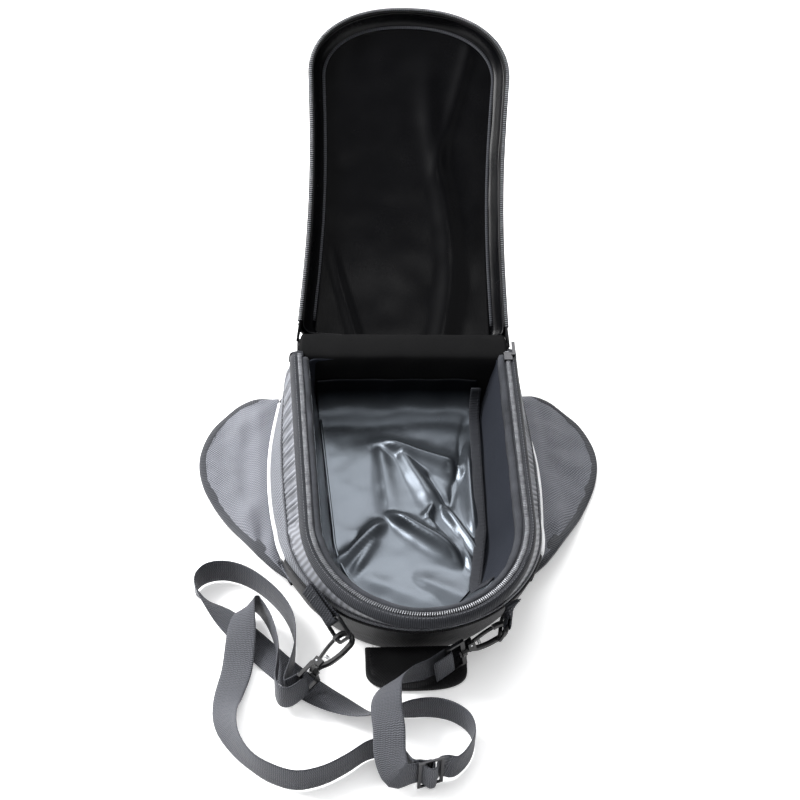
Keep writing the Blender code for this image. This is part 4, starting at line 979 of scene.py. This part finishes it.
def wing(side):
    name = "left" if side < 0 else "right"
    outline = smooth_curve(WING_OUTLINE, 14)
    wall, half = wall_curve(0.0168, -0.001), MOUTH // 2
    wall = wall[:half] if side < 0 else wall[half:2 * half]
    wall = wall[np.argsort(-wall[:, 1])]
    root_rear, root_front = 0.144, -0.066
    run = np.linspace(root_rear, root_front, len(outline))
    wall_x = np.interp(-run, -wall[:, 1], np.abs(wall[:, 0]))
    root = resample(np.stack([wall_x, run], 1), 0.0032)
    edge = np.vstack([np.linspace((wall_x[0] + 0.001, 0.16), outline[0], 6)[:-1], outline,
                      np.linspace(outline[-1], (wall_x[-1] + 0.001, -0.0665), 8)[1:]])
    edge = resample(edge, 0.0032)
    spread = np.linspace(0, 1, len(edge))
    root = np.stack([np.interp(spread, np.linspace(0, 1, len(root)), column) for column in root.T], 1)
    flip = np.array((side, 1.0))

    def middle(row):
        share = (np.abs(row[:, 0]) - WING_AXIS_X) / 0.036
        return WING_MID_Z + (WING_AXIS_Z - WING_MID_Z) * (1 - smoothstep(share))

    across = flat_widths(np.hstack([edge, np.zeros((len(edge), 1))]))[:, :2]
    at = side * WING_AXIS_X
    fold = "wing_" + name, (at - side * 0.003, 0, WING_AXIS_Z), (at + side * 0.003, 0, WING_AXIS_Z)
    for key, lift, look, replaced, puff in (
            ("wing_cloth_", 0.0016, "nylon", ("wing_top_" + name, "wing_root_" + name), 0.0012),
            ("wing_under_", -0.0014, "black", ("wing_backing_" + name,), 0.0002)):
        flap_skin(key + name, (edge - across * 0.0042) * flip, root * flip, lift, middle, look, fold,
                  replaced, 20 + side, puff)
    line = (edge - across * 0.0052) * flip
    ends = np.minimum(np.arange(len(line)), np.arange(len(line))[::-1])
    slim = 0.55 + 0.45 * smoothstep(ends / 8.0)
    path = np.stack([line[:, 0], line[:, 1], middle(line) + 0.0004], 1)
    path[:, 2] += 0.0003 * ripple(path, 0.012, 30 + side)
    wide = 0.0034 + 0.002 * smoothstep((np.linspace(0, 1, len(line)) - 0.35) / 0.4)
    hem(("wing", "_" + name), path, wide * slim, 0.0023 * slim, "binding", fold, "wing_binding_" + name,
        -side * flat_widths(path) * (0.0036 * slim)[:, None])


def front_flap():
    turn, inset, straight = np.linspace(0, math.pi, 49), 0.004, 0.012
    half = FLAP_HALF - inset
    reach = FLAP_AXIS_Y - 0.0012 - FLAP_END_Y - straight - inset
    x = -half * np.sign(np.cos(turn)) * np.abs(np.cos(turn)) ** 0.75
    y = FLAP_AXIS_Y - 0.0012 - straight - reach * np.sin(turn) ** 0.75
    sides = np.array([[-half, y_] for y_ in np.linspace(FLAP_AXIS_Y + 0.0045, FLAP_AXIS_Y - 0.0112, 6)])
    edge = np.vstack([sides, np.stack([x, y], 1), sides[::-1] * (-1, 1)])
    root = np.stack([edge[:, 0], np.full(len(edge), edge[0][1])], 1)

    def middle(row):
        drop = smoothstep((FLAP_AXIS_Y - row[:, 1]) / 0.016)
        return FLAP_AXIS_Z + (WING_MID_Z - FLAP_AXIS_Z) * drop

    fold = "front_flap", (0, FLAP_AXIS_Y + 0.002, FLAP_AXIS_Z), (0, FLAP_AXIS_Y - 0.003, FLAP_AXIS_Z)
    for key, lift, replaced, puff in (("flap_cloth", 0.0016, "flap_top", 0.001),
                                      ("flap_under", -0.0014, "flap_backing", 0.0002)):
        flap_skin(key, edge, root, lift, middle, "black", fold, (replaced,), 26, puff)
    path = resample(np.stack([edge[:, 0], edge[:, 1], middle(edge) + 0.0002], 1), 0.0025)
    hem(("flap", ""), path, 0.004, 0.0022, "black_binding", fold, "flap_binding", flat_widths(path) * 0.0026)


# --- strap and its hardware ---
HARDWARE = {
    "left": dict(root=(-0.086, -0.1052, 0.056), root_width=(0.05, 0.05, 0.99),
                 near=(-0.0665, -0.129, 0.044), far=(-0.057, -0.141, 0.0345),
                 width=(0.0, 0.0, 1.0), hook=(-0.68, -0.66, -0.25)),
    "right": dict(root=(0.0745, -0.1285, 0.0605), root_width=(-0.72, -0.7, 0.0),
                  near=(0.0715, -0.1325, 0.0455), far=(0.0665, -0.1315, 0.031),
                  width=(-0.15, -0.97, 0.1), hook=(-0.86, -0.46, -0.17)),
}
WRAP, EYE_REACH = RING_BAR + WEB_THICK / 2 + 0.0004, 0.0488


def eye_bar(side):
    """The bar of a hook's eye: its middle, the hook's direction, the bar's own, and the third."""
    ahead = unit(HARDWARE[side]["hook"])
    across = square_to((0, 0, 1), ahead)
    return np.array(HARDWARE[side]["far"]) + EYE_REACH * ahead, ahead, across, np.cross(across, ahead)


ADJUSTER, ADJUSTER_RUN = (0.003, -0.2555, 0.0165), (0.955, 0.296, 0.0)
# the strap's middle line and the tilt of its width: 0 lies flat, 90 stands on edge
FRONT_BAND = ((0.006, -0.1615, 0.021, 88), (-0.01, -0.169, 0.024, 75), (-0.023, -0.182, 0.03, 48),
              (-0.028, -0.204, 0.034, 18), (-0.027, -0.226, 0.032, 8), (-0.027, -0.245, 0.025, 20),
              (-0.022, -0.258, 0.018, 62))
RIGHT_LOOP = ((0.023, -0.2485, 0.014, 90), (0.033, -0.238, 0.0135, 90), (0.039, -0.223, 0.0135, 90),
              (0.036, -0.208, 0.0135, 90), (0.024, -0.197, 0.0135, 90), (0.008, -0.1925, 0.0135, 90),
              (-0.01, -0.1935, 0.013, 84), (-0.027, -0.196, 0.011, 62), (-0.045, -0.1935, 0.0085, 40),
              (-0.064, -0.181, 0.005, 18))
RUN_A = ((-0.085, -0.164, 0.0025, 5), (-0.107, -0.142, 0.002, 2), (-0.129, -0.116, 0.002, 3),
         (-0.15, -0.093, 0.005, 18), (-0.167, -0.078, 0.0105, 55), (-0.1765, -0.064, 0.0135, 88),
         (-0.169, -0.051, 0.0135, 90), (-0.153, -0.0475, 0.0135, 90), (-0.135, -0.054, 0.0135, 90),
         (-0.118, -0.069, 0.0135, 90), (-0.104, -0.089, 0.0135, 88), (-0.0965, -0.112, 0.015, 88),
         (-0.0965, -0.138, 0.018, 90), (-0.1005, -0.158, 0.0195, 90), (-0.104, -0.17, 0.02, 90),
         (-0.1025, -0.178, 0.0205, 90))
RUN_B = ((-0.1, -0.1845, 0.0205, 90), (-0.1085, -0.183, 0.02, 90), (-0.112, -0.172, 0.019, 90),
         (-0.1105, -0.155, 0.018, 90), (-0.1095, -0.135, 0.0168, 90), (-0.1145, -0.11, 0.0166, 90),
         (-0.123, -0.091, 0.0166, 88), (-0.1305, -0.088, 0.019, 72), (-0.1365, -0.0985, 0.018, 38),
         (-0.139, -0.118, 0.011, 12), (-0.142, -0.145, 0.005, 6), (-0.1485, -0.172, 0.0045, 18),
         (-0.15, -0.196, 0.0075, 45), (-0.143, -0.22, 0.011, 75), (-0.131, -0.238, 0.0132, 90),
         (-0.116, -0.25, 0.0135, 90), (-0.097, -0.257, 0.0135, 90), (-0.077, -0.253, 0.0135, 90),
         (-0.059, -0.243, 0.0135, 90), (-0.042, -0.231, 0.0132, 90), (-0.027, -0.23, 0.0132, 90),
         (-0.0165, -0.24, 0.014, 90))


def round_bar(side, start, end):
    """Turn of the strap round the bar of a hook's eye, with the bar's direction for its width."""
    middle, ahead, across, aside = eye_bar(side)
    return [(*(middle + 0.003 * (math.cos(a) * ahead + math.sin(a) * aside)), *across)
            for a in np.radians(np.linspace(start, end, 5))]


def beside_bar(side, along, aside_by):
    middle, ahead, across, aside = eye_bar(side)
    return (*(middle + along * ahead + aside_by * aside), *across)


def adjuster_points(places):
    run = np.array(ADJUSTER_RUN)
    across = np.array((run[1], -run[0], 0.0))
    return [(*(np.array(ADJUSTER) + along * run + aside * across)[:2], ADJUSTER[2], 90)
            for along, aside in places]


def strap_line():
    """The strap's middle line and widths, from the right hook to its sewn end on the adjuster."""
    start = [beside_bar("right", 0.015, 0.0042)] + round_bar("right", 100, 260)
    start += [beside_bar("right", 0.006, -0.003)]
    through = adjuster_points(((-0.012, -0.0034), (-0.0085, -0.003), (-0.005, 0.0002), (-0.0022, 0.0048),
                               (0.0022, 0.0048), (0.005, 0.0002), (0.0085, -0.003), (0.0125, -0.003)))
    sewn = adjuster_points(((-0.011, -0.0066), (-0.006, -0.005), (-0.0022, -0.0032), (0.0012, -0.0027),
                            (0.0027, -0.0004), (0.0021, 0.0018), (0.0006, 0.0026)))
    route = (start + list(FRONT_BAND) + through + list(RIGHT_LOOP) + list(RUN_A)
             + round_bar("left", 260, 100) + list(RUN_B) + sewn)
    path = np.array([point[:3] for point in route])
    widths = []
    for point, across in zip(route, flat_widths(path)):
        tilt = math.radians(point[3])
        widths.append(across * math.cos(tilt) + np.array((0, 0, math.sin(tilt)))
                      if len(point) == 4 else np.array(point[3:]))
    widths = square_line(path, np.array(widths))
    stood = np.abs(widths[:, 2])
    lowest = WEB_WIDTH / 2 * stood + WEB_THICK / 2 * np.sqrt(1 - stood ** 2) + 0.0004
    path[:, 2] = np.maximum(path[:, 2], lowest)
    return path, widths


def webbing_strip(name, path, widths, half, look, steps=4):
    """Webbing along a path, with rounded edges and a finer line than the frame's."""
    both = smooth_curve(np.hstack([path, widths]), steps)
    fine, across = both[:, :3], square_line(both[:, :3], both[:, 3:])
    return bar(name, fine, across, half, WEB_THICK / 2, look, 12, 0.55), fine


def strap():
    path, widths = strap_line()
    item, fine = webbing_strip("strap_webbing", path, widths, WEB_WIDTH / 2, "webbing")
    piece(item, "bag", "strap")
    length = float(lengths(fine)[-1])
    tuple(map(float, fine[0]))
    [tuple(map(float, p)) for p in fine]


def strap_tab(side):
    """Webbing sewn to the wall in two layers, folded round the ring's bar."""
    place = HARDWARE[side]
    root, near = np.array(place["root"]), np.array(place["near"])
    reach = near - root
    across = square_to(place["width"], np.array(place["far"]) - near)
    forward = square_to(reach, across)
    width_root = square_to(place["root_width"], reach)
    layers = {1: [], -1: []}
    for share in (0.0, 0.12, 0.24, 0.36, 0.48, 0.6, 0.71, 0.82):
        width = unit(width_root + (across - width_root) * min(1.0, share / 0.6))
        lift = np.cross(unit(reach), width) * (0.001 + 0.001 * share)
        for layer, rows in layers.items():
            rows.append((root + reach * share + layer * lift, width))
    normal = np.cross(forward, across)
    wrap = [(near + WRAP * (normal * math.sin(turn) + forward * math.cos(turn)), across)
            for turn in np.radians((85, 42, 0, -42, -85))]
    path, widths = (np.array(v) for v in zip(*(layers[1] + wrap + layers[-1][::-1])))
    item = webbing_strip("strap_tab_cloth_" + side, path, widths, TAB_HALF, "tab", 3)[0]
    piece(item, "bag", "strap_tab_" + side)
    for share in (0.16, 0.3):
        width = unit(width_root + (across - width_root) * min(1.0, share / 0.6))
        lift = np.cross(unit(reach), width)
        proud = lift * (0.0019 + 0.001 * share)
        line = np.array([root + reach * share + proud + width * x for x in np.linspace(-0.0078, 0.0078, 8)])
        for key, row, up in (("tab", line, lift), ("tab_back", line - 2 * proud, -lift)):
            piece(stitches(f"{key}_stitches_{side}_{int(share * 100)}", row, np.tile(up, (8, 1))),
                  "bag")


def adjuster_details():
    """Cross stitching where the strap's end is sewn back on itself."""
    run = np.array(ADJUSTER_RUN)
    across = np.array((run[1], -run[0], 0.0))
    centre = np.array(ADJUSTER) + across * -0.0062 + run * -0.0135
    for i, shift in enumerate((-0.002, 0.002)):
        line = np.array([centre + run * shift + (0, 0, z) for z in np.linspace(-0.0105, 0.0105, 9)])
        piece(stitches(f"strap_end_stitches_{i}", line, np.tile(-across, (9, 1)), 0.0026,
                       0.0018), "bag")


# --- what the frame already has ---
CARRIED = {
    "black_cad": "base_skin",
    "foam": "wall_padding",
    "board": "base_stiffener lid_stiffener wing_magnet_left wing_magnet_right flap_magnet",
    "plastic": "ring_left ring_right hook_left hook_right gate_left gate_right hook_eye_left hook_eye_right",
    "metal": "gate_pin_left gate_pin_right gate_spring_left gate_spring_right",
    "gunmetal": "zip_slider zip_pull strap_adjuster",
}


def carried_over():
    looks = {node: look for look, nodes in CARRIED.items() for node in nodes.split()}
    for key, item in frame["nodes"].items():
        item.data.materials.clear()
        item.data.materials.append(LOOK[looks.get(key, "cad_binding")])


# --- stage ---
def area_light(name, place, target, size, power):
    data = bpy.data.lights.new(name, "AREA")
    data.energy, data.size = power, size
    item = linked(name, data)
    item.location = place
    item.rotation_euler = (Vector(target) - Vector(place)).to_track_quat("-Z", "Y").to_euler()


def stage():
    size = 6.0
    mesh = bpy.data.meshes.new("floor")
    corners = ((-size, -size, 0), (size, -size, 0), (size, size, 0), (-size, size, 0))
    mesh.from_pydata(corners, [], [(0, 1, 2, 3)])
    floor = linked("floor", mesh)
    n = Nodes("studio_floor", (0.9, 0.9, 0.9), 0.85)
    patches = n.cloud(n.place("Object")[0], 0.6, 2.0)
    n.link(n.mix(patches, (0.88, 0.88, 0.88), (0.92, 0.92, 0.92)), n.shader.inputs["Base Color"])
    n.put("Emission Color", (1.0, 1.0, 1.0, 1.0))
    n.put("Emission Strength", 0.35)
    mesh.materials.append(n.material)
    scene = bpy.context.scene
    scene.view_settings.view_transform = "Standard"
    scene.view_settings.look = "None"
    world = bpy.data.worlds.new("studio")
    world.use_nodes = True
    tree = world.node_tree
    source, toward = tree.nodes.new("ShaderNodeTexCoord"), tree.nodes.new("ShaderNodeVectorMath")
    toward.operation = "DOT_PRODUCT"
    toward.inputs[1].default_value = unit((-0.62, 0.7, 0.35))
    tree.links.new(source.outputs["Generated"], toward.inputs[0])
    ramp = tree.nodes.new("ShaderNodeMapRange")
    ramp.interpolation_type = "SMOOTHSTEP"
    for socket, value in zip(ramp.inputs[1:5], (-0.15, 0.95, 0.16, 2.2)):
        socket.default_value = value
    tree.links.new(toward.outputs["Value"], ramp.inputs[0])
    shade = tree.nodes["Background"]
    shade.inputs["Color"].default_value = (0.985, 0.99, 1.0, 1.0)
    tree.links.new(ramp.outputs[0], shade.inputs["Strength"])
    scene.world = world
    for light in (("key", (-1.05, 0.35, 0.95), (0.0, 0.0, 0.04), 0.6, 32.0),
                  ("fill", (0.85, -0.55, 0.9), (0.0, -0.05, 0.03), 1.1, 1.6),
                  ("rear", (0.15, 1.15, 1.05), (0.0, 0.0, 0.05), 1.0, 14.0),
                  ("front", (0.1, -0.85, 1.45), (0.0, 0.15, 0.12), 0.45, 2.0)):
        area_light(*light)


def camera():
    rise, turn, roll = math.radians(42.6), math.radians(5.4), math.radians(3.0)
    back = np.array((-math.sin(turn) * math.cos(rise), -math.cos(turn) * math.cos(rise), math.sin(rise)))
    right = np.array((math.cos(turn), -math.sin(turn), 0.0))
    up = np.cross(back, right)
    level = math.cos(roll) * right + math.sin(roll) * up
    tall = -math.sin(roll) * right + math.cos(roll) * up
    data = bpy.data.cameras.new("camera")
    data.lens, data.sensor_width, data.clip_start = 81.0, 36.0, 0.05
    item = linked("camera", data)
    target, distance = np.array((-0.002, 0.089, 0.0768)), 1.553
    place = target + distance * back
    matrix = Matrix.Identity(4)
    for column, vector in enumerate((level, tall, back, place)):
        for row in range(3):
            matrix[row][column] = vector[row]
    item.matrix_world = matrix
    bpy.context.scene.camera = item


camera()
strap()
stage()
carried_over()
body_walls()
rim()
tape_ends()
cavity()
lid()
for sign in (-1, 1):
    wing(sign)
front_flap()
for key in HARDWARE:
    strap_tab(key)
adjuster_details()
bpy.context.view_layer.update()
